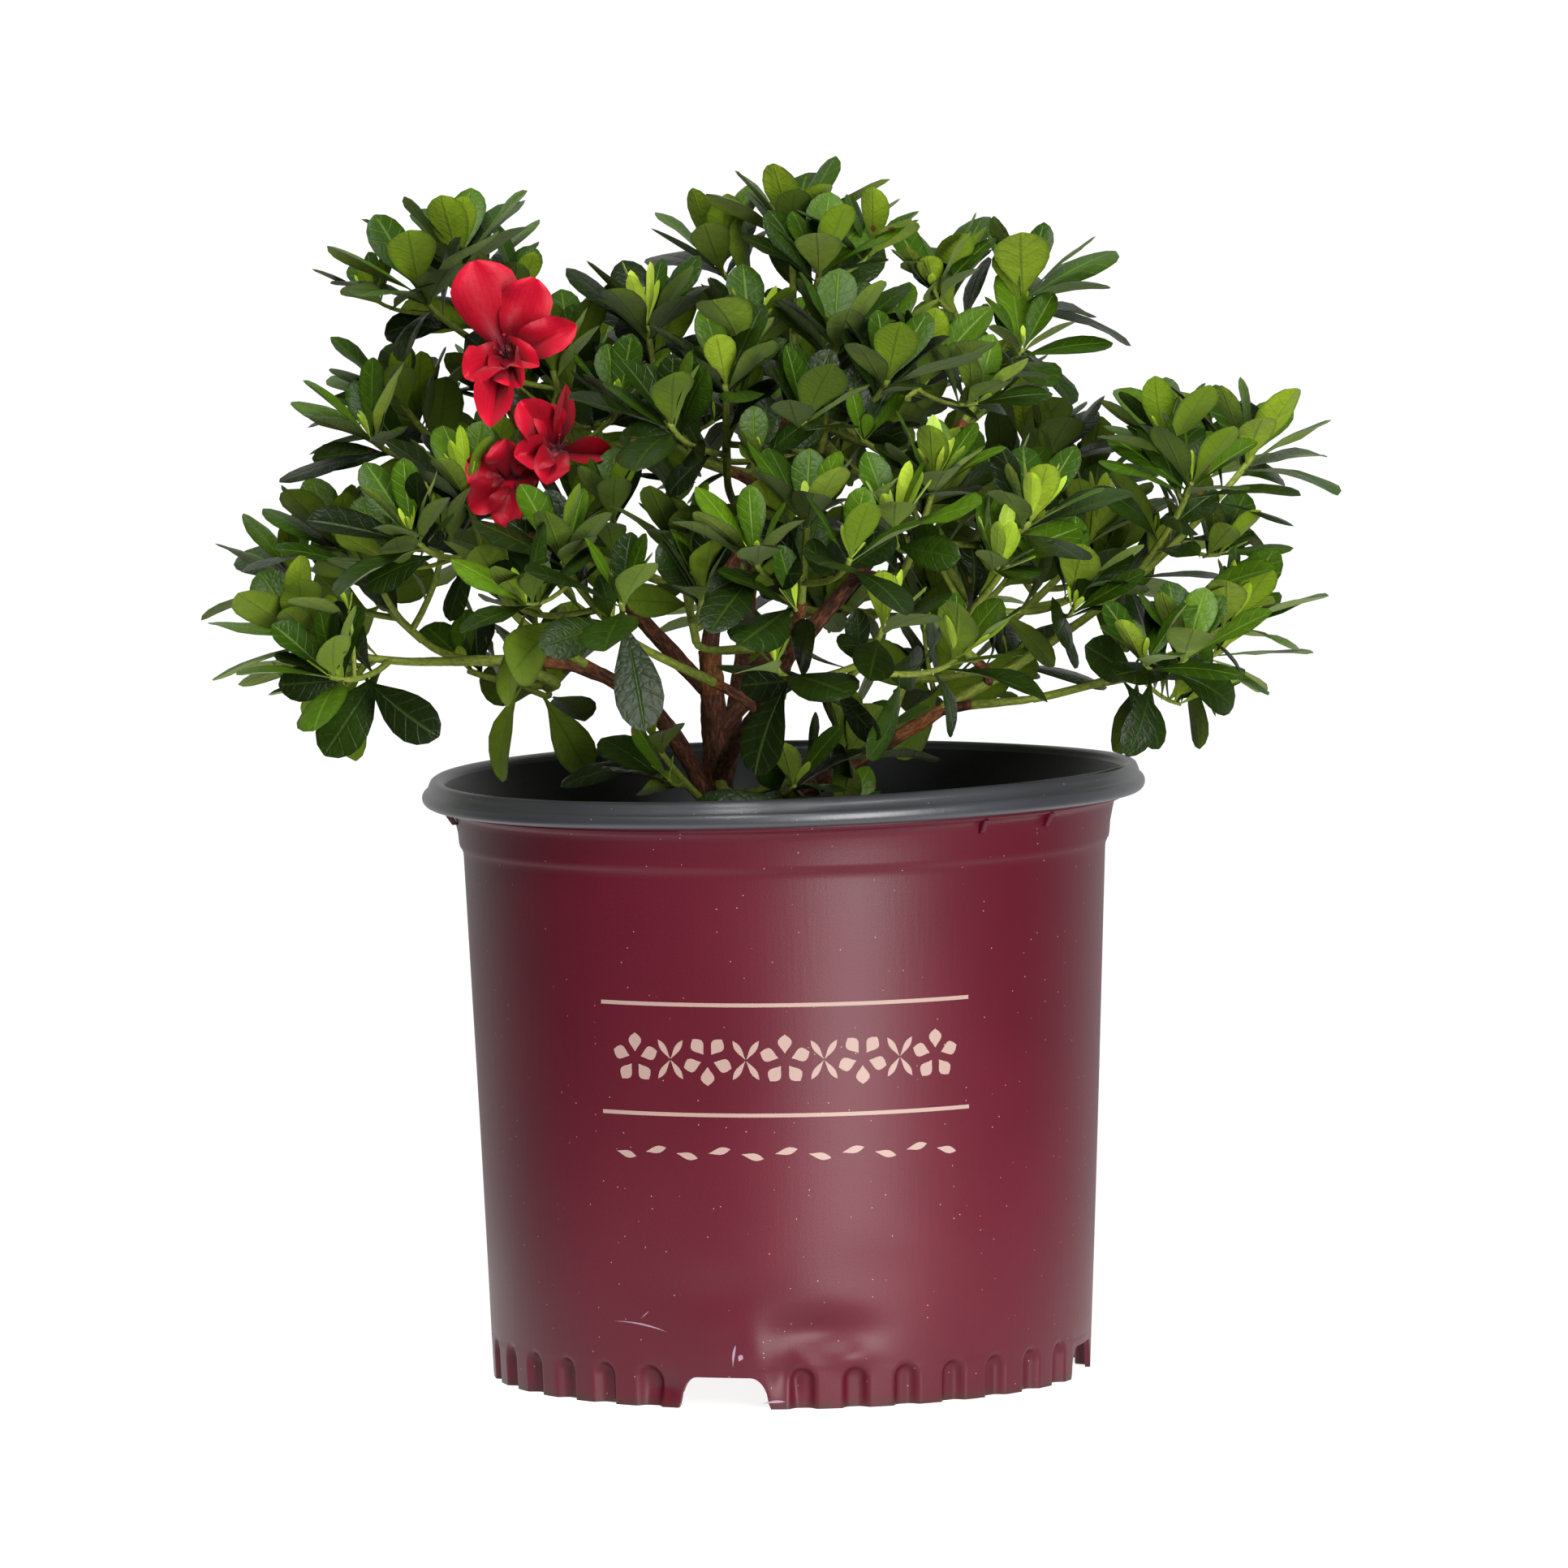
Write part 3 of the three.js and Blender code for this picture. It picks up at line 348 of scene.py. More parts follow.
scuffedPlastic = mouldedPolypropylene("scuffedPolypropylene", {    # where the colour is scraped to a chalky haze
    "base": "#a890a0", "deep": "#8d7080", "dust": "#c9b4ac", "stain": "#8a7a70",
    "roughness": 0.7, "relief": 0.5, "shine": 0.2})
soilMix = crumbledMix("compostedBarkAndPeat", {
    "stops": [(0.0, "#17110c"), (0.45, "#2a1d14"), (0.8, "#3c2919"), (1.0, "#5a4026")]})
# bark: ridge width, pitch of the corky spots and depth in mm
oldBark = barkSkin("flakingAzaleaBark", {
    "stretch": 0.28, "ridgeWidth": 1.111, "depth": 0.9, "spotPitch": 2, "spotShare": 0.35, "spotColour": "#7a5a40",
    "stops": [(0.3, "#24150e"), (0.5, "#4a2a1a"), (0.62, "#6b4027"), (0.8, "#8d6242")]})
youngBark = barkSkin("greenYoungBark", {
    "stretch": 0.35, "ridgeWidth": 0.909, "depth": 0.4, "spotPitch": 1.818, "spotShare": 0.75,
    "spotColour": "#6b4a22", "stops": [(0.3, "#56631f"), (0.5, "#75842f"), (0.7, "#8d963f"), (0.85, "#7d6a36")]})
reddishBark = barkSkin("reddishBoughBark", {
    "stretch": 0.3, "ridgeWidth": 1, "depth": 0.5, "spotPitch": 1.667, "spotShare": 0.5, "spotColour": "#8a7a4a",
    "stops": [(0.3, "#3d2012"), (0.5, "#6a3a1e"), (0.65, "#7d5a2c"), (0.85, "#8a8040")]})
leafLooks = {    # each kind's upper and lower face
    "mature": {
        "waxyMatureLeaf": {
            "tones": ["#0f1903", "#182805", "#2a4209"], "mottle": "#122005", "vein": "#435c1a", "veinShare": 0.32,
            "margin": "#0d1604", "shine": 0.23, "roughness": 0.38, "sheen": 0.0, "veinRelief": -1.6, "net": 0.5},
        "mattMatureLeafUnderside": {
            "tones": ["#485c0f", "#5b7214", "#71891b"], "mottle": "#4a6010", "vein": "#3a4e10", "veinShare": 0.4,
            "margin": "#26380b", "shine": 0.15, "roughness": 0.55, "sheen": 0.08, "veinRelief": 1.2, "net": -0.4},
    },
    "fresh": {
        "waxyFreshLeaf": {
            "tones": ["#213a05", "#355207", "#507010"], "mottle": "#294506", "vein": "#6f8e2c", "veinShare": 0.4,
            "margin": "#192c05", "shine": 0.24, "roughness": 0.4, "sheen": 0.0, "veinRelief": -1.4, "net": 0.45},
        "mattFreshLeafUnderside": {
            "tones": ["#5f7813", "#758d19", "#8ea626"], "mottle": "#5d7613", "vein": "#4d6412", "veinShare": 0.38,
            "margin": "#354a0c", "shine": 0.15, "roughness": 0.52, "sheen": 0.08, "veinRelief": 1.1, "net": -0.35},
    },
    "flush": {
        "tenderNewLeaf": {
            "tones": ["#86a216", "#9ab624", "#afc834"], "mottle": "#84a21c", "vein": "#c0d064", "veinShare": 0.3,
            "margin": "#76921a", "shine": 0.4, "roughness": 0.42, "sheen": 0.1, "veinRelief": -0.4, "net": 0.3},
        "tenderNewLeafUnderside": {
            "tones": ["#92ae20", "#a6c02e", "#bad046"], "mottle": "#8eaa26", "vein": "#7e9a24", "veinShare": 0.3,
            "margin": "#7e9a24", "shine": 0.3, "roughness": 0.5, "sheen": 0.1, "veinRelief": 0.5, "net": -0.3},
    },
}
leafSkins = {kind: [leafSkin(name, look) for name, look in faces.items()] for kind, faces in leafLooks.items()}
petalRed = petalSkin("softRedPetal", {
    "stops": [(0.0, "#420110"), (0.45, "#8e0218"), (1.0, "#bd0a2a")], "vein": "#7a0214"})
print("materials:", len(bpy.data.materials))


beadTurns = np.radians(np.linspace(-70, 70, 9))
pot = {
    "height": 234, "footRadius": 116, "wallTopRadius": 124.4, "wallTopZ": 206, "collarRadius": 127.6,
    "flangeRadius": 132, "lipRadius": 140, "mouthRadius": 131, "frontSag": 4,
    "columns": 900,                 # round the pot, so that a flute has 22 columns
    "underFloor": [(1, 13), (70, 13), (110, 13)], "insideFoot": [(113.4, 12.6), (114, 11), (114, 6), (114, 0)],
    # up the outside, over the lip and down the inside: what each radius is measured from, the kind of surface
    # (0 wall, 1 lip, 2 inside), and steps from that radius, each with its height
    "section": [
        ("wall", 0, [(0, z) for z in (*range(21), *np.linspace(22, 60, 16), *np.linspace(66, 198, 18), 202)]),
        ("wall", 0, [(0.1, 204)]),
        ("collar", 0, [(-2.5, 205.6), (-1.85, 206.6), (-1.6, 208), (-1.25, 212), (-0.2, 217), (0.3, 219),
                       (1.3, 220.6)]),
        ("flange", 0, [(-0.9, 221.2), (-0.1, 221.8), (0, 223.2), (-0.5, 223.9)]),
        ("flange", 1, [(0.4, 223.5)]),
        ("lip", 1, [(-3.2, 223.1), *[(3 * math.cos(turn) - 3, 226.4 + 3.2 * math.sin(turn)) for turn in beadTurns],
                    (-2.6, 231.4), (-3.4, 233.1), (-4.6, 233.9), (-6, 233.8), (-7.8, 232.8), (-9, 231)]),
        ("lip", 2, [(-9.9, 228)]),
        ("collar", 2, [(-2.2, 220), (-3.8, 209)]),
        ("wall", 2, [(-2.22, 203.5), (-2.2, 196), (-2.2, 120), (-8, 80), (-9, 20)]),
        ("axis", 2, [(60, 15.2), (1, 15.2)]),
    ],
    "reliefTop": 70,                # no flute or dent reaches higher
    "stiffFoot": 15,                # the wobble starts above it
    "dents": [                      # degrees round from +X, height, half width, half height, depth (in is positive)
        [-84.5, 29, 20, 8, 5.2], [-79, 20, 9, 5, -1.8], [-91.5, 13, 6, 9, 3], [-97, 24, 7, 14, -1],
        [-115, 8, 8, 6, 3], [-103, 44, 22, 10, 0.9], [-72, 52, 30, 16, 0.8], [-62, 66, 24, 20, -0.7],
    ],
}
notch = {"count": 4, "first": -13, "bottom": 35, "top": 20, "height": 12, "fadeHeight": 20}
flute = {"pitch": 10, "perQuarter": 7, "first": 15, "width": 10, "height": 16, "depth": 3.8, "roundTop": 5}
soil = {"topZ": 200, "radius": 121.2, "rings": 46, "columns": 150, "swell": 2.2, "bumpWidth": 16,
        "settled": 2.6, "rim": 22, "rimDrop": 3.5,    # the mix falls away towards the wall
        "skirt": [(104, 110), (102, 17)],             # radius and height of its hidden rings
        "chips": 420, "chipSize": [2.5, 8], "chipsFromWall": 9, "seed": 77}


def sagged(points):    # the soft mouth isn't level: low at the front left, high at the front right
    x, y, z = points[:, 0], points[:, 1], points[:, 2]
    share = np.clip((z - soil["topZ"]) / (pot["height"] - soil["topZ"]), 0, 1)
    points[:, 2] = z + pot["frontSag"] * (x / pot["lipRadius"]) * (0.5 - 0.5 * y / pot["lipRadius"]) * share
    return points


def wallRadiusAt(z):
    return mix(pot["footRadius"], pot["wallTopRadius"], z / pot["wallTopZ"])


def wobbleAt(around, z):    # a slow wobble of the soft wall, 0.4 mm
    return 1 + 0.0028 * np.sin(3 * around + 0.6) * np.sin(z / 47) + 0.0012 * np.sin(7 * around)


def acrossFoot(degrees, middle):    # mm round the foot from a direction to the middle of a form
    return np.radians((degrees - middle + 180) % 360 - 180) * pot["footRadius"]


def notchHeight(degrees):    # how far the foot is cut away there
    cut = np.zeros_like(degrees)
    slope = (notch["bottom"] - notch["top"]) / 2
    for side in range(notch["count"]):    # turned from -Y, as the foot's cutters are
        across = np.abs(acrossFoot(degrees, side * 90 + notch["first"] - 90))
        rise = np.clip((notch["bottom"] / 2 - across) / slope, 0, 1)
        cut = np.maximum(cut, notch["height"] * np.sqrt(1 - (1 - rise) ** 2.2))
    return cut


def wallRelief(degrees, z):    # how far flutes and dents push the wall in
    push = np.zeros_like(degrees)
    for side in range(notch["count"]):
        for k in range(flute["perQuarter"]):
            middle = side * 90 + notch["first"] - 90 + flute["first"] + k * flute["pitch"]
            across = acrossFoot(degrees, middle) / (flute["width"] / 2)
            end = np.clip((z - flute["height"]) / flute["roundTop"] + 1, 0, None)
            push = np.maximum(push, flute["depth"] * easeStep(1.25, 0.1, across ** 2 + end ** 2))
    for middle, height, halfWidth, halfHeight, depth in pot["dents"]:
        across = acrossFoot(degrees, middle) / halfWidth
        push = push + depth * np.exp(-1.2 * (across ** 2 + ((z - height) / halfHeight) ** 2))
    return push


def buildPot():    # one closed shell: from the axis under the floor, round the foot, up and back down to the axis
    columns = pot["columns"]
    degrees = np.arange(columns) * 360 / columns
    cosines, sines = np.cos(np.radians(degrees)), np.sin(np.radians(degrees))
    cut = notchHeight(degrees)
    rings, kinds = [], []

    def addRing(reach, lift, kind):
        rings.append(np.stack([reach * cosines, reach * sines, lift], axis=1))
        kinds.append(kind)

    for radius, z in pot["underFloor"]:
        addRing(radius, np.full(columns, float(z)), 0)
    for radius, z in pot["insideFoot"]:
        level = np.full(columns, float(z))
        addRing(radius - wallRelief(degrees, level), np.maximum(cut, level), 0)
    for base, kind, steps in pot["section"]:
        for step, z in steps:
            radius = step + (wallRadiusAt(z) if base == "wall" else pot.get(base + "Radius", 0))
            lift = np.full(columns, float(z))
            if z < notch["fadeHeight"]:
                lift = mix(cut, notch["fadeHeight"], z / notch["fadeHeight"])
            addRing(radius - (wallRelief(degrees, lift) if z < pot["reliefTop"] else 0), lift, kind)
    points = sagged(np.concatenate(rings))
    around = np.tile(np.radians(degrees), len(rings))
    points[:, :2] *= np.where(points[:, 2] > pot["stiffFoot"], wobbleAt(around, points[:, 2]), 1)[:, None]
    faces = ringFaces(len(rings) - 1, columns)
    slots = [max(pair) for pair in zip(kinds, kinds[1:]) for _ in range(columns)]
    last = (len(rings) - 1) * columns
    faces += [tuple(range(columns))[::-1], tuple(range(last, last + columns))]    # the two closed ends on the axis
    shell = Heap()
    shell.add(points, faces, slots + [0, 2])
    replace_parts(shell.build("pot_shell", [potPlastic, lipPlastic, linerPlastic], "pot_plastic", 50), "pot")


plateDepth = 0.4    # how far a plate laid on the wall goes into it
printBand = {
    "middle": -90.5, "halfWidth": 74, "bottomZ": 112, "topZ": 154, "line": 1.5, "lineCells": 48, "proud": 0.16,
    "blossoms": 5, "petal": 7.4, "petalHalf": 2.7, "eye": 2.4,
    "sprig": 9, "sprigHalf": 1.2, "sprigTurn": 34,    # turns are in degrees
    "leafRow": 11, "leafRowZ": 98, "rowShare": 0.86, "leaf": 9, "leafHalf": 1.4, "leafTurn": 12,
}


def flatShape(outline, at, turn):    # a flat outline as points across and up the wall, turned by degrees
    c, s = math.cos(math.radians(turn)), math.sin(math.radians(turn))
    return [(at[0] + x * c - y * s, at[1] + x * s + y * c) for x, y in outline]


def petalOutline(length, half):
    side = [(length * t, half * math.sin(math.pi * t ** 1.4)) for t in np.linspace(0.04, 1, 7)]
    return side + [(x, -y) for x, y in side[-2::-1]]


def layOnWall(heap, shape, middle, proud):    # a thin closed plate of that outline, laid on the pot's wall
    count = len(shape)
    x, z = np.array(shape, float).T
    around = math.radians(middle) + x / wallRadiusAt(z)
    dent = np.where(z < pot["reliefTop"], wallRelief(np.degrees(around), z), 0)
    reach = (wallRadiusAt(z) - dent) * wobbleAt(around, z)
    plates = [np.stack([(reach + lift) * np.cos(around), (reach + lift) * np.sin(around), z], axis=1)
              for lift in (proud, -plateDepth)]
    faces = [range(count), range(2 * count - 1, count - 1, -1)]
    faces += [[(i + 1) % count, i, i + count, (i + 1) % count + count] for i in range(count)]
    heap.add(np.concatenate(plates), faces)


def buildPrint():
    band = printBand
    half, line = band["halfWidth"], band["line"]
    shapes = []
    for z in (band["bottomZ"], band["topZ"]):
        for i in range(band["lineCells"]):
            a, b = [mix(-half, half, k / band["lineCells"]) for k in (i, i + 1)]
            shapes.append([(a, z), (b, z), (b, z + line), (a, z + line)])
    middleZ = (band["bottomZ"] + band["topZ"] + line) / 2
    pitch = 2 * half / band["blossoms"]
    for k in range(band["blossoms"]):
        x = (k + 0.5) * pitch - half
        for j in range(5):
            turn = 90 + 72 * j + (36 if k % 2 else 0)
            root = flatShape([(band["eye"], 0)], (x, middleZ), turn)[0]
            shapes.append(flatShape(petalOutline(band["petal"], band["petalHalf"]), root, turn))
        if k:    # a sprig of four leaves between two blossoms
            outline = petalOutline(band["sprig"], band["sprigHalf"])
            for turn in (band["sprigTurn"], -band["sprigTurn"]):
                shapes += [flatShape(outline, (x - pitch / 2, middleZ), way + turn) for way in (-90, 90)]
    for k in range(band["leafRow"]):
        x = mix(-half, half, k / (band["leafRow"] - 1)) * band["rowShare"] - band["leaf"] / 2
        turn = band["leafTurn"] if k % 2 else -band["leafTurn"]
        shapes.append(flatShape(petalOutline(band["leaf"], band["leafHalf"]), (x, band["leafRowZ"]), turn))
    heap = Heap()
    for shape in shapes:
        layOnWall(heap, shape, band["middle"], band["proud"])
    heap.build("pot_print", [printInk], "pot_plastic", 40)


scuffs = {    # degrees round from +X, height, length, half width, turn in degrees, bow
    "longScratch": [-119.5, 32, 24, 0.32, -7, 0.05], "hairScratch": [-118, 33.6, 5, 0.15, 40, 0],
    "scuff": [-98.8, 16, 9, 0.5, 82, 0.04], "scuffHead": [-99.2, 18.5, 3, 1, 60, 0],
    "footScrape": [-93.5, 2.2, 9, 0.5, 4, 0.05], "footScrapeLeft": [-113.5, 3.2, 10, 0.4, -12, 0.05],
}
scuffProud = 0.06
lipTabs = {"degrees": [-54.5, -39.4, -172], "halfWidth": 1.1, "proud": 1.3, "bedded": -1.5,
           "ends": [(216.5, 1.3, 0.5), (221.2, 3.6, 1)]}    # height, step from the collar, share of its relief


def buildMarks():
    marks, tabs = Heap(), Heap()
    for middle, height, length, half, turn, bow in scuffs.values():
        outline = [(x, y + 4 * bow * x * (1 - x / length)) for x, y in petalOutline(length, half)]
        layOnWall(marks, flatShape(outline, (-length / 2, height), turn), middle, scuffProud)
    marks.build("pot_scuffs", [scuffedPlastic], "pot_plastic", 40)
    faces = [(0, 8, 12, 4), (3, 7, 15, 11)]
    for i in range(3):
        faces += [(i, i + 1, i + 9, i + 8), (i + 5, i + 4, i + 12, i + 13),
                  (i + 1, i, i + 4, i + 5), (i + 8, i + 9, i + 13, i + 12)]
    for middle in lipTabs["degrees"]:    # the small upright tabs under the flange
        corners = []
        for z, step, share in lipTabs["ends"]:
            radius = pot["collarRadius"] + step
            for deep in (lipTabs["bedded"], lipTabs["proud"] * share):
                for side in (-1, -0.6, 0.6, 1):    # its outer corners are rounded
                    around = math.radians(middle) + side * lipTabs["halfWidth"] / radius
                    reach = radius + (deep if abs(side) < 1 or deep < 0 else deep * 0.5)
                    corners.append((reach * math.cos(around), reach * math.sin(around), z))
        tabs.add(sagged(np.array(corners)), faces)
    tabs.build("pot_lip_tabs", [potPlastic], "pot_plastic", 40)


def soilHeight(x, y):
    bumps = noise.fractal(Vector((x / soil["bumpWidth"], y / soil["bumpWidth"], 3)), 0.7, 2.1, 4)
    rim = easeStep(soil["radius"] - soil["rim"], soil["radius"], math.hypot(x, y))
    return soil["topZ"] - soil["settled"] + soil["swell"] * (bumps * 0.7 + 0.5) - soil["rimDrop"] * rim


def buildSoil():
    rows, columns = soil["rings"], soil["columns"]
    circle = [(math.cos(angle), math.sin(angle)) for angle in 2 * math.pi * np.arange(columns) / columns]
    points = [(0, 0, soilHeight(0, 0))]
    for row in range(1, rows + 1):
        radius = soil["radius"] * row / rows
        points += [(radius * c, radius * s, soilHeight(radius * c, radius * s)) for c, s in circle]
    for radius, z in soil["skirt"]:
        points += [(radius * c, radius * s, z) for c, s in circle]
    faces = [(0, 1 + i, 1 + (i + 1) % columns) for i in range(columns)]
    faces += ringFaces(rows + 1, columns, 1, flip=True)
    faces.append(tuple(range(len(points) - columns, len(points)))[::-1])
    heap = Heap()
    heap.add(points, faces)
    draw = makeRandom(soil["seed"])
    square = [(-1, -1), (1, -1), (1, 1), (-1, 1)]
    box = [(0, 3, 2, 1), (4, 5, 6, 7), (0, 1, 5, 4), (1, 2, 6, 5), (2, 3, 7, 6), (3, 0, 4, 7)]
    for _ in range(soil["chips"]):    # flakes of bark lying on top
        radius, angle = (soil["radius"] - soil["chipsFromWall"]) * math.sqrt(draw()), 2 * math.pi * draw()
        x, y = radius * math.cos(angle), radius * math.sin(angle)
        size = mix(*soil["chipSize"], draw() ** 2)
        spin = Matrix.Rotation(6.28 * draw(), 3, "Z") @ Matrix.Rotation(0.7 * (draw() - 0.5), 3, "X")
        corners = []
        for cx, cy, cz in [(*corner, side) for side in (-1, 1) for corner in square]:
            corner = Vector((cx * size * (0.35 + 0.2 * draw()), cy * size * (0.18 + 0.16 * draw()),
                             cz * (0.5 + 0.5 * draw())))
            corners.append(np.array(spin @ corner) + (x, y, min(soilHeight(x, y), soil["topZ"] - 1) + 0.4))
        heap.add(corners, box)
    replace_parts(heap.build("potting_mix", [soilMix], "potting_mix", 30), "soil")


buildPot()
buildPrint()
buildMarks()
print("pot: shell, print and marks")
buildSoil()
print("potting mix")


trunk = {"foot": [-24, 0], "forkZ": 280, "footRadius": 5.6, "forkRadius": 4.4, "flareRadius": 8.6, "flareHeight": 14}

# from: share of the trunk's height. leave: the way it sets out. bow: how far it holds its end directions.
limbs = {
    "limb_left_low": {"from": 0.1, "leave": [-0.3, 0.1, 1], "radii": [4, 1.6], "bow": [0.6, 0.35]},
    "limb_right_low": {"from": 0.08, "leave": [0.8, -0.1, 0.6], "radii": [3.8, 1.7], "bow": [0.35, 0.35]},
    "limb_back": {"from": 0.3, "leave": [0.1, 1, 0.7], "radii": [3.8, 2.2], "bow": [0.35, 0.4]},
    "limb_front": {"from": 0.42, "leave": [0.15, -1, 0.5], "radii": [3.6, 2.2], "bow": [0.35, 0.4]},
    "limb_right_high": {"from": 0.62, "leave": [0.7, 0.15, 0.7], "radii": [3.6, 2.1], "bow": [0.35, 0.4]},
    "limb_left_high": {"from": 0.8, "leave": [-0.7, 0.1, 0.7], "radii": [3.4, 2.1], "bow": [0.35, 0.4]},
    "limb_top": {"from": 1, "leave": [0.1, 0, 1], "radii": [3.6, 2.2], "bow": [0.35, 0.35]},
}
boughRadii = [2.2, 1.4]


def mass(on, at, stem, shoots, spread, head, lean, turn=None, bare=False):
    return {"on": on, "at": at, "stem": stem, "shoots": shoots, "spread": spread,
            "head": np.array(head, float), "lean": unit(lean), "turn": turn, "bare": bare}


# on, at: the limb that carries it and where. stem: length to its head. shoots: rosettes, set spread apart.
# bare: no bough, its stem runs back to the limb.
masses = {
    "left_far_low": mass("limb_left_low", 1, 48, 3, 35, [-184, -50, 290], [-0.75, -0.1, 0.3]),
    "left_far_high": mass("limb_left_low", 0.62, 50, 5, 41, [-172, 12, 322], [-0.5, 0, 0.75]),
    "left_inner": mass("limb_left_low", 0.42, 44, 4, 40, [-119, -68, 346], [-0.2, -0.35, 0.9]),
    "left_upper": mass("limb_left_high", 1, 48, 3, 30, [-123, 10, 432], [-0.25, 0, 1]),
    "left_mid": mass("limb_left_high", 0.62, 42, 4, 38, [-147, 15, 378], [-0.55, 0, 0.8]),
    "blossom": mass("limb_left_high", 0.5, 44, 3, 38, [-86, -52, 392], [-0.15, -0.5, 0.8]),
    "back_top_left": mass("limb_left_high", 0.75, 44, 4, 42, [-74, 75, 387], [-0.1, 0.3, 0.9]),
    "top": mass("limb_top", 1, 50, 4, 34, [6, 5, 440], [0, 0, 1], turn=60),
    "top_left": mass("limb_top", 0.55, 44, 4, 38, [-50, -48, 408], [-0.15, -0.25, 1]),
    "centre": mass("limb_top", 0.4, 47, 4, 38, [-20, -98, 388], [0, -0.5, 0.8]),
    "front_upper": mass("limb_top", 0.7, 44, 4, 38, [22, -72, 402], [0.1, -0.35, 0.9]),
    "top_right": mass("limb_top", 0.8, 44, 5, 42, [54, 56, 386], [0.25, 0.25, 0.9]),
    "right_upper": mass("limb_right_high", 1, 56, 2, 30, [97, 30, 416], [0.35, 0, 0.9], turn=90),
    "right_mid": mass("limb_right_high", 0.7, 46, 4, 37, [122, 28, 322], [0.55, 0.1, 0.75]),
    "right_front": mass("limb_right_high", 0.5, 44, 4, 42, [58, -115, 350], [0.2, -0.5, 0.8]),
    "right_far": mass("limb_right_low", 1, 94, 3, 34, [182, -24, 354], [0.6, 0, 0.75], turn=60),
    "right_low": mass("limb_right_low", 0.62, 84, 3, 36, [172, -55, 292], [0.8, -0.15, 0.48]),
    "right_under": mass("limb_right_low", 0.45, 40, 3, 36, [88, 34, 272], [0.7, 0.35, 0.25]),
    "right_inner": mass("limb_right_low", 0.75, 42, 4, 40, [86, -78, 318], [0.4, -0.5, 0.7]),
    "front_centre": mass("limb_front", 1, 44, 3, 40, [10, -146, 340], [0.05, -0.55, 0.85]),
    "front_low": mass("limb_front", 0.6, 40, 3, 38, [38, -138, 298], [0.3, -0.65, 0.65]),
    "front_left": mass("limb_front", 0.45, 44, 4, 40, [-82, -130, 324], [-0.4, -0.5, 0.75]),
    "centre_left": mass("limb_front", 0.78, 44, 4, 39, [-38, -114, 326], [-0.1, -0.45, 0.85]),
    "back_mid": mass("limb_back", 1, 46, 5, 44, [-10, 146, 372], [0, 0.55, 0.8]),
    "back_left": mass("limb_back", 0.55, 46, 5, 42, [-112, 116, 345], [-0.5, 0.5, 0.7]),
    "back_right": mass("limb_back", 0.7, 46, 5, 44, [98, 116, 350], [0.5, 0.5, 0.7]),
    "back_low": mass("limb_back", 0.38, 44, 5, 44, [20, 166, 300], [0.05, 0.8, 0.5]),
    "left_under": mass("limb_left_low", 0.8, 40, 3, 30, [-122, 22, 272], [-0.7, 0.4, 0.25], bare=True),
    "sprout_left": mass("trunk", 0.18, 36, 2, 24, [-50, -14, 246], [-0.5, -0.2, 0.8], bare=True),
    "sprout_right": mass("trunk", 0.4, 55, 2, 29, [26, -42, 243], [0.75, -0.3, 0.45], bare=True),
}
space = {"ownMargin": 1.2, "sharing": 1, "headsApart": 29, "fineHeadsApart": 24, "lipMargin": 6, "wallMargin": 11.5,
         "soilMargin": 3, "sideTries": 14, "fineTries": 9, "hang": 0.35,
         "pointEvery": 7, "aboveHead": 14, "aboveSide": 12}    # mm between a limb's points, and on beyond its tip
blooms = {    # the room that each flower takes up
    "large": {"at": [-98, -72, 402], "face": [-0.1, -0.9, 0.35], "radius": 27},
    "folded": {"at": [-84, -82, 366], "face": [0.25, -0.95, 0.1], "radius": 22},
    "closing": {"at": [-103, -76, 352], "face": [-0.5, -0.85, -0.1], "radius": 20},
}
bloomTwig = 99    # a number that no twig has
twigRadii = {"main": [1.7, 1.25], "side": [1.4, 1.1], "fine": [1, 0.75], "sprout": [2.4, 2.4]}    # at foot and tip


def stemCurve(one):
    low = unit(one["lean"] - 0.35 * up)
    elbow = one["head"] - one["lean"] * one["stem"] * 0.5
    return bezier(elbow - low * one["stem"] * 0.5, elbow, one["head"])


def bowedCurve(start, leave, end, arrive, bow):
    span = np.linalg.norm(end - start)
    return bezier(start, start + leave * span * bow[0], end - arrive * span * bow[1], end)


def trunkCurve():
    x, y = trunk["foot"]
    footZ = soil["topZ"] - 4
    return splineThrough([(x, y, footZ), (x + 0.5, y, footZ + 16), (x - 2, y + 1, mix(footZ, trunk["forkZ"], 0.5)),
                          (x - 4, y + 2, trunk["forkZ"])])


def trunkRadius(share):
    above = share * (trunk["forkZ"] - soil["topZ"])
    flare = max(0, 1 - above / trunk["flareHeight"]) ** 2
    return mix(trunk["footRadius"], trunk["forkRadius"], share) + flare * (trunk["flareRadius"] - trunk["footRadius"])


def layOutLimbs():
    stock = trunkCurve()
    laid = {"trunk": {"curve": stock, "radius": trunkRadius}}
    stems = {name: stemCurve(one) for name, one in masses.items()}
    for name, limb in limbs.items():
        stem = stems[next(key for key, one in masses.items() if one["on"] == name and one["at"] == 1)]
        curve = bowedCurve(stock.point(limb["from"]), unit(limb["leave"]), stem.point(0), stem.tangent(0), limb["bow"])
        laid[name] = {"curve": curve, "radius": partial(mix, *limb["radii"])}
    for name, one in masses.items():
        if one["at"] == 1 or one["bare"]:
            continue
        parent, stem = laid[one["on"]]["curve"], stems[name]
        start, end = parent.point(one["at"]), stem.point(0)
        leave = unit(parent.tangent(one["at"]) * 0.5 + unit(end - start))
        curve = bowedCurve(start, leave, end, stem.tangent(0), [0.3, 0.3])
        laid["bough_" + name] = {"curve": curve, "radius": partial(mix, *boughRadii)}
    return laid, stems


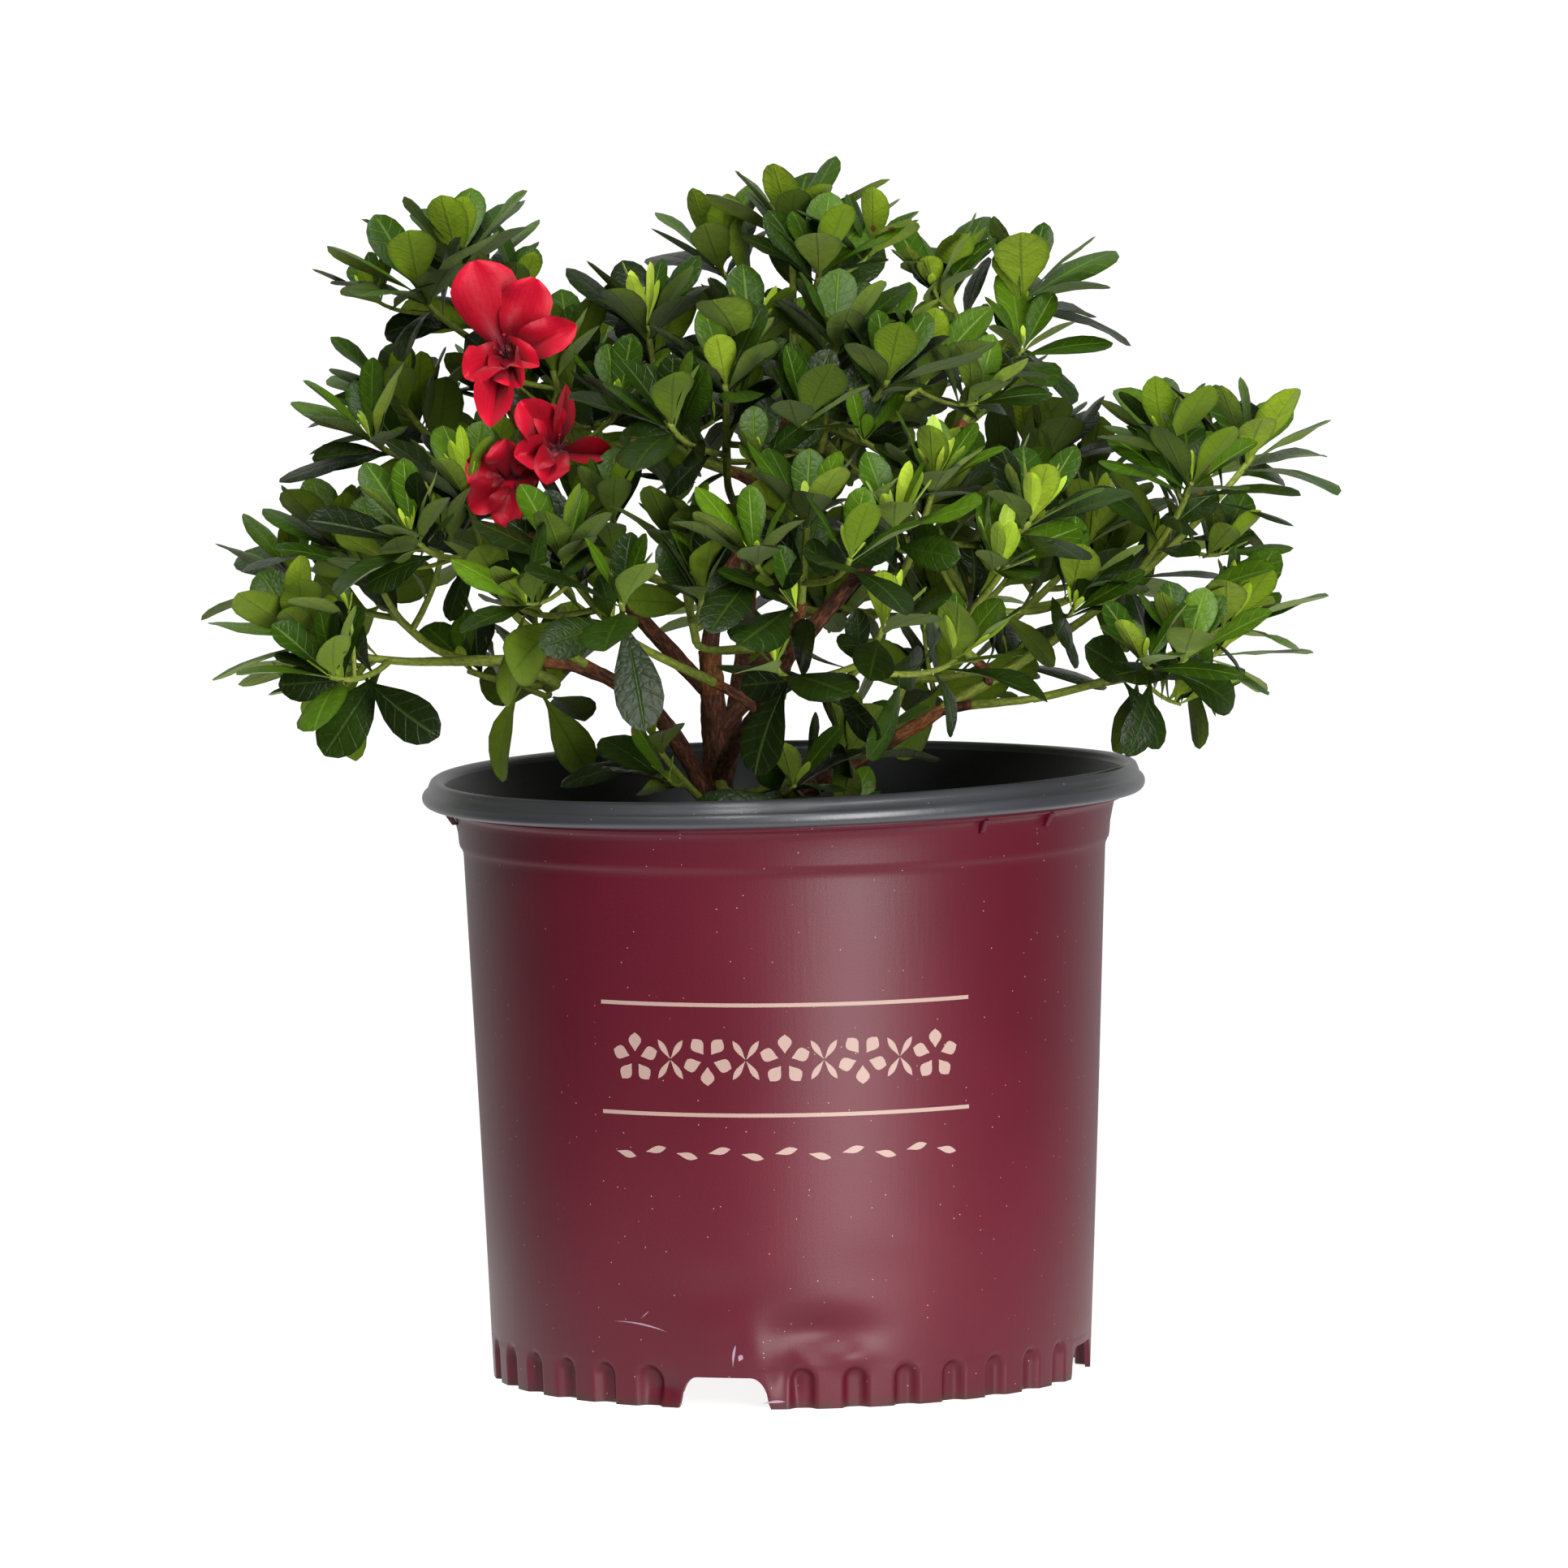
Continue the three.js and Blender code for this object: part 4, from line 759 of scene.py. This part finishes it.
class Skeleton:    # points along every limb and twig, each with its owner and the number of its twig
    def __init__(self):
        self.owners, self.rows, self.table = {}, [], None

    def addPoint(self, owner, twig, at):
        self.rows.append((self.owners.setdefault(owner, len(self.owners)), twig, *at))
        self.table = None

    def addCurve(self, owner, twig, curve, start=0.0):
        steps = max(2, math.ceil(curve.length / space["pointEvery"]))
        for i in range(steps + 1):
            if i / steps >= start:
                self.addPoint(owner, twig, curve.point(i / steps))

    def distances(self, owner, twig, at):    # to a twig itself, its sister twigs and everything else
        if self.table is None:
            self.table = np.array(self.rows)
        gaps = np.linalg.norm(self.table[:, 2:] - at, axis=1)
        mine = self.table[:, 0] == self.owners.get(owner, -1)
        same = mine & (self.table[:, 1] == twig)
        return [float(gaps[pick].min(initial=math.inf)) for pick in (same, mine & ~same, ~mine)]


def clearOfPot(point):
    if point[2] < soil["topZ"] + space["soilMargin"]:
        return False
    overWall = math.hypot(point[0], point[1]) > pot["mouthRadius"] - space["wallMargin"]
    return not (overWall and point[2] < pot["height"] + space["lipMargin"])


def layOutShoots(name, one, stem, skeleton, random):
    head, lean, spread = one["head"], one["lean"], one["spread"]
    shoots = [{"curve": stem, "lean": lean, "radii": twigRadii["main"], "twig": 0}]
    square = squareTo(lean)
    phase = random() * 2 * math.pi if one["turn"] is None else math.radians(one["turn"])
    turn = 0
    for side in range(1, one["shoots"]):
        for _ in range(space["sideTries"]):
            around = turned(square, phase + goldenAngle * turn)
            turn += 1
            drop = spread * (0.3 + 0.35 * random())
            end = head + around * spread - lean * drop
            end[2] = max(end[2], head[2] - space["hang"] * spread)
            sideLean = unit(lean * 0.7 + around * 0.5 + up * 0.3)
            curve = bezier(stem.point(max(0.12, 0.5 - 0.12 * side)), end - sideLean * spread * 0.45, end)
            clear = True
            for share in (0.5, 0.75, 1):
                at = curve.point(share)
                other = skeleton.distances(name, 0, at)[2]
                clear = clear and clearOfPot(at) and other > space["headsApart"] * (1 if share == 1 else 0.5)
            if clear and all(np.linalg.norm(s["curve"].point(1) - end) > space["headsApart"] for s in shoots):
                shoots.append({"curve": curve, "lean": sideLean, "radii": twigRadii["side"], "twig": len(shoots)})
                break
    return shoots


laidLimbs, stemCurves = layOutLimbs()
skeleton = Skeleton()
for name, limb in laidLimbs.items():
    skeleton.addCurve(name, 0, limb["curve"])
for name, one in masses.items():
    skeleton.addCurve(name, 0, stemCurves[name])
    skeleton.addPoint(name, 0, one["head"] + one["lean"] * space["aboveHead"])
for bloom in blooms.values():
    for share in (-0.4, 0, 0.5):
        skeleton.addPoint("blossom", bloomTwig, np.array(bloom["at"]) + unit(bloom["face"]) * share * bloom["radius"])
plans = {}
for index, (name, one) in enumerate(masses.items()):
    random = makeRandom(1000 + 37 * index)
    shoots = layOutShoots(name, one, stemCurves[name], skeleton, random)
    for shoot in shoots[1:]:
        skeleton.addCurve(name, shoot["twig"], shoot["curve"], 0.3)
        skeleton.addPoint(name, shoot["twig"], shoot["curve"].point(1) + shoot["lean"] * space["aboveSide"])
    plans[name] = {"shoots": shoots, "random": random}
print("laid out:", len(laidLimbs), "limbs,", sum(len(plan["shoots"]) for plan in plans.values()), "shoots")


def addTube(heap, curve, radiusAt, sides, stride, relief=0.0, slotAt=None, tipSlot=0, tipLength=0.6):
    # a round limb with ridges standing relief mm proud, its places read as round and along in mm
    rows = max(2, int(curve.length / stride))
    normal = squareTo(curve.tangent(0))[0]
    points, places = [], []
    for row in range(rows + 1):
        share = row / rows
        tangent, centre = curve.tangent(share), curve.point(share)
        normal = unit(normal - tangent * np.dot(normal, tangent))
        other = np.cross(tangent, normal)
        radius, run = radiusAt(share), share * curve.length
        for i in range(sides):
            angle = 2 * math.pi * i / sides
            c, s = math.cos(angle), math.sin(angle)
            reach = radius
            if relief:
                spot = Vector((c * radius * 0.45, s * radius * 0.45, run * 0.1125))
                knot = Vector((c * 0.8, s * 0.8, run * 0.06))
                reach += relief * noise.fractal(spot, 0.8, 2.0, 3) + relief * 0.8 * noise.noise(knot)
            points.append(centre + normal * c * reach + other * s * reach)
            places.append((c * radius, s * radius, run))
    foot, tip, last = len(points), len(points) + 1, rows * sides
    points += [curve.point(0) - curve.tangent(0) * 0.2, curve.point(1) + curve.tangent(1) * radiusAt(1) * tipLength]
    places += [(0, 0, 0), (0, 0, curve.length)]
    faces = ringFaces(rows, sides)
    for i in range(sides):
        j = (i + 1) % sides
        faces += [(foot, j, i), (tip, last + i, last + j)]
    slots = [slotAt(row / rows) if slotAt else 0 for row in range(rows) for _ in range(sides)]
    heap.add(points, faces, slots + [tipSlot] * 2 * sides, places)


barkLook = {
    "trunk": {"piece": "trunk_bark", "slot": "bark", "sides": 44, "stride": 0.8, "relief": 0.75, "green": 1},
    "limb": {"piece": "limb_bark", "slot": "bark", "sides": 28, "stride": 1.4, "relief": 0.4, "green": 1},
    "bough": {"piece": "bough_bark", "slot": "young_bark", "sides": 16, "stride": 2.2, "relief": 0.2, "green": 0.35},
    "greenFrom": {"limb_left_low": 0.8, "limb_right_low": 0.62},    # where these two turn from brown to green
}


def buildBark(kind):
    look, heap = barkLook[kind], Heap()
    names = [name for name in laidLimbs if name.split("_")[0] == kind]
    for name in names:
        green = barkLook["greenFrom"].get(name, look["green"])

        def slotAt(share):    # old bark, then reddish, then green
            return 0 if share < green * 0.8 else 1 if share < green else 2
        addTube(heap, laidLimbs[name]["curve"], laidLimbs[name]["radius"], look["sides"], look["stride"],
                look["relief"], slotAt, 2 if green < 1 else 0)
    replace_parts(heap.build(look["piece"], [oldBark, reddishBark, youngBark], look["slot"], 60), *names)


for kind in ("trunk", "limb", "bough"):
    buildBark(kind)
print("bark: trunk, limbs and boughs")


leaf = {
    "rows": [0, 0.07, 0.16, 0.3, 0.45, 0.6, 0.74, 0.86, 0.95, 1],
    "halfWidths": [0.08, 0.09, 0.18, 0.48, 0.79, 0.97, 1.0, 0.83, 0.5, 0.06],
    "columns": [-1, -0.55, 0, 0.55, 1],
    "thickness": 0.42,
    "widthShare": 0.45,      # of its length
    "newWidth": 0.52,        # new leaves aren't spread yet
    "length": 42,            # a full-grown one
    "mostFaces": 90000,      # in one piece, before the next is begun
    "steepest": 16, "droop": 0.12, "tries": 6, "shorter": 0.07, "steeper": 0.12,
    # each leaf's own form: the least, and how much the draw adds
    "broad": [0.86, 0.26], "bend": [0.5, 1.1], "fold": [0.1, 0.3], "roll": [0.1, 0.2], "wave": 0.12, "waves": 9,
    "twist": 0.5, "sweep": 0.1, "tilt": 0.35,
}


def shellGrid(rows, columns):    # faces of a thin closed shell: an upper grid and a lower one that share their rim
    across = len(columns)
    inner = {}
    for r in range(1, len(rows) - 1):
        for c in range(1, across - 1):
            inner[r * across + c] = len(rows) * across + len(inner)
    faces = []
    for r in range(len(rows) - 1):
        for c in range(across - 1):
            a = r * across + c
            faces += [(a, a + 1, a + across + 1, a + across),
                      tuple(inner.get(spot, spot) for spot in (a, a + across, a + across + 1, a + 1))]
    return faces


def bladePoints(blade, look):
    # one leaf or petal as points: bent along its length, folded on its midrib, its rim waved and rolled
    rows, columns = np.meshgrid(look["rows"], look["columns"], indexing="ij")
    half = np.interp(rows, look["rows"], look["halfWidths"]) * blade["width"] / 2
    bend = blade["bend"] if abs(blade["bend"]) > 1e-3 else 1e-3
    run = blade["length"] * np.sin(bend * rows) / bend
    sink = blade["length"] * (1 - np.cos(bend * rows)) / bend
    edge = np.abs(columns)
    rise = edge * half * math.tan(blade["fold"]) - blade["roll"] * edge ** 4 * half
    rise = rise + blade["wave"] * half * edge * np.sin(rows * blade["waves"] + blade["phase"] + columns * 1.3)
    twist = blade["twist"] * rows
    flat = columns * half
    sideways, lifted = flat * np.cos(twist) - rise * np.sin(twist), flat * np.sin(twist) + rise * np.cos(twist)
    sideways = sideways + blade["sweep"] * blade["length"] * rows ** 2
    along, across, face = blade["along"], blade["across"], blade["face"]
    normal = np.cos(bend * rows)[..., None] * face + np.sin(bend * rows)[..., None] * along
    points = blade["root"] + run[..., None] * along - sink[..., None] * face
    points = points + sideways[..., None] * across + lifted[..., None] * normal
    places = np.stack([columns, rows, np.full_like(rows, blade["number"])], axis=-1)
    inside = (slice(1, -1), slice(1, -1))
    under = points[inside] - normal[inside] * look["thickness"]
    return (np.concatenate([points.reshape(-1, 3), under.reshape(-1, 3)]),
            np.concatenate([places.reshape(-1, 3), places[inside].reshape(-1, 3)]))


leafFaces = shellGrid(leaf["rows"], leaf["columns"])
leafSlots = [0, 1] * (len(leafFaces) // 2)    # upper and lower face by turns
leafHeaps = {kind: [Heap()] for kind in leafSkins}


def leafAxes(lean, around, pitch):
    angle = math.radians(pitch * (1 + leaf["droop"] * -around[2]))
    along = lean * math.cos(angle) + around * math.sin(angle)
    across = np.cross(lean, around)
    return along, across, np.cross(along, across)


def growLeaf(owner, twig, root, lean, around, pitch, length, kind, random, bend):
    # sets a leaf where its twig's own space has room for it, raised and shortened as it needs
    shape = [random() for _ in range(8)]
    for attempt in range(leaf["tries"]):
        size = length * (1 - leaf["shorter"] * attempt)
        width = size * leaf["widthShare"] * (leaf["newWidth"] if kind == "flush" else 1)
        along, across, face = leafAxes(lean, around, max(pitch * (1 - leaf["steeper"] * attempt), leaf["steepest"]))
        widest = root + along * size * 0.62
        tip = root + along * size * 0.97 - face * size * bend * 0.4
        for corner in (tip, widest + across * width / 2, widest - across * width / 2):
            own, sister, other = skeleton.distances(owner, twig, corner)
            if not (clearOfPot(corner) and other > own + space["ownMargin"] and sister > own - space["sharing"]):
                break
        else:    # all three are free
            tilt = leaf["tilt"] * (shape[0] - 0.5)
            across, face = turned((across, face), tilt), turned((face, -across), tilt)
            blade = {
                "root": root, "along": along, "across": across, "face": face, "length": size,
                "width": width * (leaf["broad"][0] + leaf["broad"][1] * shape[1]),
                "bend": bend * (leaf["bend"][0] + leaf["bend"][1] * shape[2]),
                "fold": leaf["fold"][0] + leaf["fold"][1] * shape[3],
                "roll": leaf["roll"][0] + leaf["roll"][1] * shape[4],
                "wave": leaf["wave"] * shape[5], "waves": leaf["waves"], "phase": 6.28 * shape[6],
                "twist": leaf["twist"] * (shape[7] - 0.5), "sweep": leaf["sweep"] * (shape[6] - 0.5),
                "number": shape[7],
            }
            if len(leafHeaps[kind][-1].faces) > leaf["mostFaces"]:
                leafHeaps[kind].append(Heap())
            points, places = bladePoints(blade, leaf)
            leafHeaps[kind][-1].add(points, leafFaces, leafSlots, places)
            return


growth = {
    "mainLeaves": 11, "sideLeaves": 10, "fineLeaves": 8, "fineSize": 0.86,
    "upturn": 0.62,                   # how far a rosette's axis turns from its twig's to upright
    "pitch": [20, 84],                # degrees from that axis, of its youngest and its oldest leaf
    "curl": [0.05, 0.45],             # bend of the youngest and the oldest
    "heartLength": [24, 12],          # of the newest leaves, in a bright heart and in others
    "fineTwigs": [2, 1],              # off a main stem, off a side shoot
    "fuller": {"back_mid": [5, 4], "back_left": [4, 3], "back_right": [4, 3], "back_low": [4, 3], "top_right": [3, 2],
               "back_top_left": [4, 3], "centre": [4, 3], "centre_left": [3, 3], "front_upper": [4, 3],
               "top_left": [4, 3], "right_inner": [3, 2], "left_inner": [4, 3], "top": [3, 2],
               "front_left": [3, 2], "front_centre": [3, 2], "right_front": [3, 2]},
    "fresh": 0.4,                     # share of a rosette's leaves that are young, and the masses that differ
    "freshShare": {"right_far": 0.95, "right_low": 0.95, "right_mid": 0.85, "right_upper": 0.9, "top": 0.7,
                   "left_far_low": 0.85, "left_far_high": 0.75, "right_front": 0.6, "left_mid": 0.8,
                   "left_upper": 0.7, "left_inner": 0.55, "centre": 0.15, "centre_left": 0.15, "top_left": 0.2,
                   "front_upper": 0.3, "front_left": 0.35, "back_mid": 0.1, "back_low": 0.1,
                   "back_left": 0.15, "back_right": 0.15, "back_top_left": 0.15},
    "fineLength": [17, 27],
    "stemLeafEvery": 6.5,             # mm of stem between single leaves
    "bareShare": 0.22,                # of a shoot's foot without leaves
    "leafyLength": 68,                # longest stretch of a stem that carries leaves
    "bright": ["right_inner", "right_front", "right_mid", "left_inner", "front_low", "top_left", "right_low"],
}
twigHeap = Heap()


def growRosette(owner, twig, head, lean, count, size, random, bright):
    # a whorl by golden turns: young leaves stand up inside, old ones lie out below
    twigLean, lean = lean, unit(mix(lean, up, growth["upturn"]))
    square = squareTo(lean)
    phase = random() * 2 * math.pi
    for i in range(count):
        age = (i + 0.5) / count    # 0 is the youngest
        around = turned(square, phase + goldenAngle * i)
        pitch = mix(*growth["pitch"], age ** 0.9) + 12 * (random() - 0.5)
        length = leaf["length"] * size * mix(0.72, 1.1, min(1, age * 1.6)) * (0.88 + 0.24 * random())
        kind = "fresh" if age < growth["freshShare"].get(owner, growth["fresh"]) else "mature"
        growLeaf(owner, twig, head - twigLean * (age * 8), lean, around, pitch, length, kind, random,
                 mix(*growth["curl"], age))
    hearts = 6 if bright else 3 if random() < 0.55 else 2
    for i in range(hearts):    # the newest leaves, still folded round the bud
        around = turned(square, phase + 1.1 + goldenAngle * i)
        length = growth["heartLength"][0 if bright else 1] * (0.7 + 0.5 * random())
        growLeaf(owner, twig, head + lean * 0.5, lean, around, 14 + 30 * random(), length,
                 "flush" if bright or random() < 0.6 else "fresh", random, -0.1)


def growShoot(name, shoot, fineCount, leafCount, random, heads):
    curve, lean, twig = shoot["curve"], shoot["lean"], shoot["twig"]
    bright = name in growth["bright"] and (twig == 0 or random() < 0.4)
    growRosette(name, twig, curve.point(1), lean, leafCount, 1.0, random, bright)
    leafy = min(curve.length * (1 - growth["bareShare"]), growth["leafyLength"])
    square = squareTo(lean)
    phase = random() * 2 * math.pi
    for k in range(fineCount):    # finer twigs, each with its own rosette
        for attempt in range(space["fineTries"]):
            share = 1 - mix(0.2, 0.9, (k + 0.3 * random()) / max(1, fineCount - 0.3)) * leafy / curve.length
            around = turned(square, phase + goldenAngle * (k + 3 * attempt))
            reach = mix(*growth["fineLength"], random())
            start, tangent = curve.point(share), curve.tangent(share)
            fineLean = unit(tangent * 0.5 + around * 0.75 + up * 0.3)
            end = start + unit(tangent * 0.45 + around) * reach
            own, sister, other = skeleton.distances(name, twig, end + fineLean * 6)
            if not (clearOfPot(end) and other > own + 4 and sister > own + 1):
                continue
            if min(np.linalg.norm(end - taken) for taken in heads) < space["fineHeadsApart"]:
                continue
            heads.append(end)
            addTube(twigHeap, bezier(start, end - fineLean * reach * 0.45, end), partial(mix, *twigRadii["fine"]), 7, 4)
            growRosette(name, twig, end, fineLean, growth["fineLeaves"], growth["fineSize"], random,
                        bright and random() < 0.3)
            break
    for j in range(int(leafy / growth["stemLeafEvery"])):    # single leaves down the stem
        share = 1 - (10 + (j + 0.4 * random()) * growth["stemLeafEvery"]) / curve.length
        if share < 0.12:
            break
        around = turned(squareTo(curve.tangent(share)), phase + goldenAngle * j)
        growLeaf(name, twig, curve.point(share), curve.tangent(share), around, 62 + 26 * random(),
                 leaf["length"] * (0.85 + 0.3 * random()), "mature", random, 0.6)


def growMass(name, one, shoots, random):
    heads = [shoot["curve"].point(1) for shoot in shoots]
    fineTwigs = growth["fuller"].get(name, growth["fineTwigs"])
    for shoot in shoots:
        isMain = shoot["twig"] == 0
        addTube(twigHeap, shoot["curve"], partial(mix, *shoot["radii"]), 9, 3, 0.12)
        growShoot(name, shoot, fineTwigs[0 if isMain else 1], growth["mainLeaves" if isMain else "sideLeaves"],
                  random, heads)
    if one["bare"]:    # its stem runs back to the limb it grew from
        stem = stemCurves[name]
        root, start = laidLimbs[one["on"]]["curve"].point(one["at"]), stem.point(0)
        foot = bowedCurve(root, unit(start - root), stem.point(0.1), stem.tangent(0.1), [0.3, 0.3])
        addTube(twigHeap, foot, partial(mix, *twigRadii["sprout"]), 9, 3, 0.12)


for name, one in masses.items():
    growMass(name, one, plans[name]["shoots"], plans[name]["random"])
massNodes = ["mass_" + name for name in masses]
twigs = twigHeap.build("twigs", [youngBark], "young_bark", 60)
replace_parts(twigs, *massNodes)
for kind, heaps in leafHeaps.items():
    for number, heap in enumerate(heaps, 1):
        piece = heap.build(f"leaves_{kind}_{number}", leafSkins[kind], "foliage", 75)
        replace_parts(piece, *massNodes)
    faceCount = sum(len(heap.faces) for heap in heaps)
    print("leaves:", kind, faceCount // len(leafFaces), "leaves,", 2 * faceCount, "triangles")


petal = {
    "rows": [0, 0.08, 0.18, 0.3, 0.42, 0.54, 0.66, 0.77, 0.87, 0.94, 1],
    "halfWidths": [0.2, 0.26, 0.42, 0.66, 0.86, 0.98, 1.0, 0.94, 0.74, 0.5, 0.16],
    "columns": [-1, -0.78, -0.5, -0.25, 0, 0.25, 0.5, 0.78, 1],
    "thickness": 0.5, "roll": 0.25, "twist": 0.5, "sweep": 0.1, "waves": [8, 3], "seed": 4242,
}
# each petal: turn in degrees round the flower (0 is to the right, 90 up), lean forwards out of its plane in
# degrees, length, width, bend, fold, wave
flowers = {
    "large": {
        "at": [-103, -70, 398], "face": [-0.1, -0.97, 0.22],
        "petals": [
            [108, 10, 38, 26, -0.35, 0.2, 0.22], [67, 14, 32, 20, -0.3, 0.35, 0.26], [20, 30, 30, 15, 0.4, 0.85, 0.5],
            [214, 60, 21, 15, 0.9, 0.9, 0.55], [258, 32, 29, 15, 0.5, 1, 0.5], [296, 60, 19, 15, 0.8, 0.95, 0.6],
            [340, 64, 19, 12, 0.9, 1, 0.6],
        ],
        "stamens": 6, "stamenLength": 15,
    },
    "folded": {
        "at": [-85, -76, 362], "face": [0.12, -0.95, 0.1],
        "petals": [
            [80, 18, 28, 8, -0.4, 1.15, 0.12], [124, 32, 24, 16, 0.5, 0.85, 0.5], [100, 24, 18, 14, 0.3, 0.7, 0.4],
            [186, 48, 18, 13, 0.8, 0.9, 0.5], [244, 60, 16, 14, 0.9, 0.9, 0.5], [-4, 30, 21, 10, 0.5, 1.1, 0.3],
        ],
        "stamens": 2, "stamenLength": 10,
    },
    "closing": {
        "at": [-101, -70, 352], "face": [-0.3, -0.92, -0.05],
        "petals": [
            [88, 52, 18, 15, 0.8, 0.6, 0.45], [158, 36, 18, 14, 0.7, 0.6, 0.45], [214, 38, 19, 13, 0.7, 0.8, 0.4],
            [268, 40, 18, 14, 0.8, 0.7, 0.45], [20, 44, 17, 13, 0.8, 0.8, 0.4],
        ],
        "stamens": 0, "stamenLength": 0,
    },
}


def buildFlowers():
    faces = shellGrid(petal["rows"], petal["columns"])
    petals, stamens, stalks = Heap(), Heap(), Heap()
    ends = [shoot["curve"].point(0.8) for shoot in plans["blossom"]["shoots"]]
    draw = makeRandom(petal["seed"])
    for flower in flowers.values():
        throat, face = np.array(flower["at"], float), unit(flower["face"])
        right = unit(np.cross(up, face))
        top = unit(np.cross(face, right))
        for turn, forward, length, width, bend, fold, wave in flower["petals"]:
            out, tilt = turned((right, top), math.radians(turn)), math.radians(forward)
            along, lifted = turned((out, face), tilt), turned((face, -out), tilt)
            blade = {
                "root": throat + along * 1.5, "along": along, "across": np.cross(lifted, along), "face": lifted,
                "length": length, "width": width, "bend": bend, "fold": fold, "roll": petal["roll"], "wave": wave,
                "waves": petal["waves"][0] + petal["waves"][1] * draw(), "phase": 6.28 * draw(),
                "twist": petal["twist"] * (draw() - 0.5), "sweep": petal["sweep"] * (draw() - 0.5), "number": draw(),
            }
            points, places = bladePoints(blade, petal)
            petals.add(points, faces, None, places)
        back = throat - face * 16 + np.array([0, 0, -6])
        funnel = bezier(back, throat - face * 7, throat + face * 3)
        addTube(petals, funnel, lambda share: mix(1.6, 4.6, share ** 1.6), 12, 2, tipLength=0.1)
        nearest = min(ends, key=lambda end: np.linalg.norm(end - back))
        stalk = bezier(nearest, mix(nearest, back, 0.5) - face * 3, back + face * 2)
        addTube(stalks, stalk, partial(mix, 0.9, 1.3), 8, 3)
        for k in range(flower["stamens"]):
            aside, reach = turned((right, top), math.radians(60 * k + 20)), face * flower["stamenLength"]
            thread = bezier(throat, throat + reach * 0.6 + aside, throat + reach + aside * 3.5 + top * 3)
            addTube(stamens, thread, lambda share: 0.28 if share < 0.93 else 0.75, 6, 1.2)    # and its anther
    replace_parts(petals.build("petals", [petalRed], "foliage", 80), "mass_blossom")
    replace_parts(stamens.build("stamens", [petalRed], "foliage", 60), "mass_blossom")
    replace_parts(stalks.build("flower_stalks", [youngBark], "young_bark", 60), "mass_blossom")


buildFlowers()
print("blossom:", len(flowers), "flowers")


studio = {
    "distance": 4500,        # camera to the middle of the plant
    "elevation": 4.9,        # degrees above the pot's middle
    "roll": 0.78,            # degrees, the plant's top leans left in the frame
    "aimZ": 228,
    "frameWidth": 607.2,     # what the square frame takes in at the plant, mm
    "sensor": 36,
    "backdrop": 1.05,        # what the camera sees beyond the floor
    "worldBehind": 0.7, "worldInFront": 0.06,    # the room's light: a bright wall behind, dim by the camera
    "floorGlow": 0.88,       # a light table: the floor is lit through, so that it reads as one white with the wall
    "floorSize": 640,        # a small sheet, so that little light comes up from it
    "boxes": {               # place, aim and size in metres, power in watts
        "keyBox": [(0.95, -2.2, 0.45), (0, 0, 0.2), (1.1, 2.3), 98],
        "topBox": [(-0.35, -1.1, 2.0), (0, 0, 0.36), (1.1, 1.1), 42],
    },
}


def placeObject(name, data):
    holder = bpy.data.objects.new(name, data)
    bpy.context.scene.collection.objects.link(holder)
    return holder


def buildFloor():
    # Pale matt paper lit from below: one even white, with faint 25 mm clouds in it.
    material, add, dress = newMaterial("paleStudioPaper", {
        "Roughness": 0.9, "Specular IOR Level": 0.1, "Emission Color": "#ffffff",
        "Emission Strength": studio["floorGlow"]})
    coords = add("TexCoord", {}).outputs["Object"]
    fibre = add("TexNoise", {"Scale": cellsOf(25), "Detail": 2}, coords)
    pale = add("ValToRGB", {"stops": [(0.3, "#9a9a9a"), (0.7, "#a0a0a0")]}, fibre)
    dress({"Base Color": pale})
    half = studio["floorSize"] / 2 * metresPerMm
    sheet = bpy.data.meshes.new("studioFloor")
    sheet.from_pydata([(-half, -half, 0), (half, -half, 0), (half, half, 0), (-half, half, 0)], [], [(0, 1, 2, 3)])
    sheet.materials.append(material)
    placeObject("studio_floor", sheet)


def buildLight():
    world = bpy.data.worlds.new("studio")
    bpy.context.scene.world = world
    world.use_nodes = True
    add, background = partial(addNode, world.node_tree), world.node_tree.nodes["Background"]
    room = add("SeparateXYZ", {}, add("TexCoord", {}).outputs["Generated"])
    glow = add("MapRange", {"From Min": 0.1, "From Max": 0.8, "To Min": studio["worldInFront"],
                            "To Max": studio["worldBehind"]}, room.outputs["Y"])
    seen = add("LightPath", {}).outputs["Is Camera Ray"]
    strength = add("Mix", {"data_type": "FLOAT", "B": studio["backdrop"]}, seen, glow)
    feed(world.node_tree, background, {"Strength": strength})
    background.inputs["Color"].default_value = linear("#ffffff")
    for name, (at, aim, size, power) in studio["boxes"].items():
        lamp = bpy.data.lights.new(name, "AREA")
        lamp.shape, lamp.size, lamp.size_y, lamp.energy = "RECTANGLE", size[0], size[1], power
        holder = placeObject(name, lamp)
        holder.location = Vector(at)
        holder.rotation_euler = (Vector(aim) - Vector(at)).to_track_quat("-Z", "Y").to_euler()


def buildCamera():
    elevation, roll = math.radians(studio["elevation"]), math.radians(studio["roll"])
    aim = Vector((0, 0, studio["aimZ"] * metresPerMm))
    backwards = Vector((0, -math.cos(elevation), math.sin(elevation)))
    right, top = Vector((1, 0, 0)), Vector((0, math.sin(elevation), math.cos(elevation)))
    cameraRight = right * math.cos(roll) - top * math.sin(roll)
    cameraTop = right * math.sin(roll) + top * math.cos(roll)
    lens = bpy.data.cameras.new("camera")
    lens.sensor_width = studio["sensor"]
    lens.lens = studio["sensor"] * studio["distance"] / studio["frameWidth"]
    lens.clip_end = 50
    holder = placeObject("camera", lens)
    turn = Matrix((cameraRight, cameraTop, backwards)).transposed()
    holder.matrix_world = Matrix.Translation(aim + backwards * studio["distance"] * metresPerMm) @ turn.to_4x4()
    bpy.context.scene.camera = holder


buildFloor()
buildLight()
buildCamera()
bpy.context.scene.view_settings.view_transform = "Standard"
print("studio")
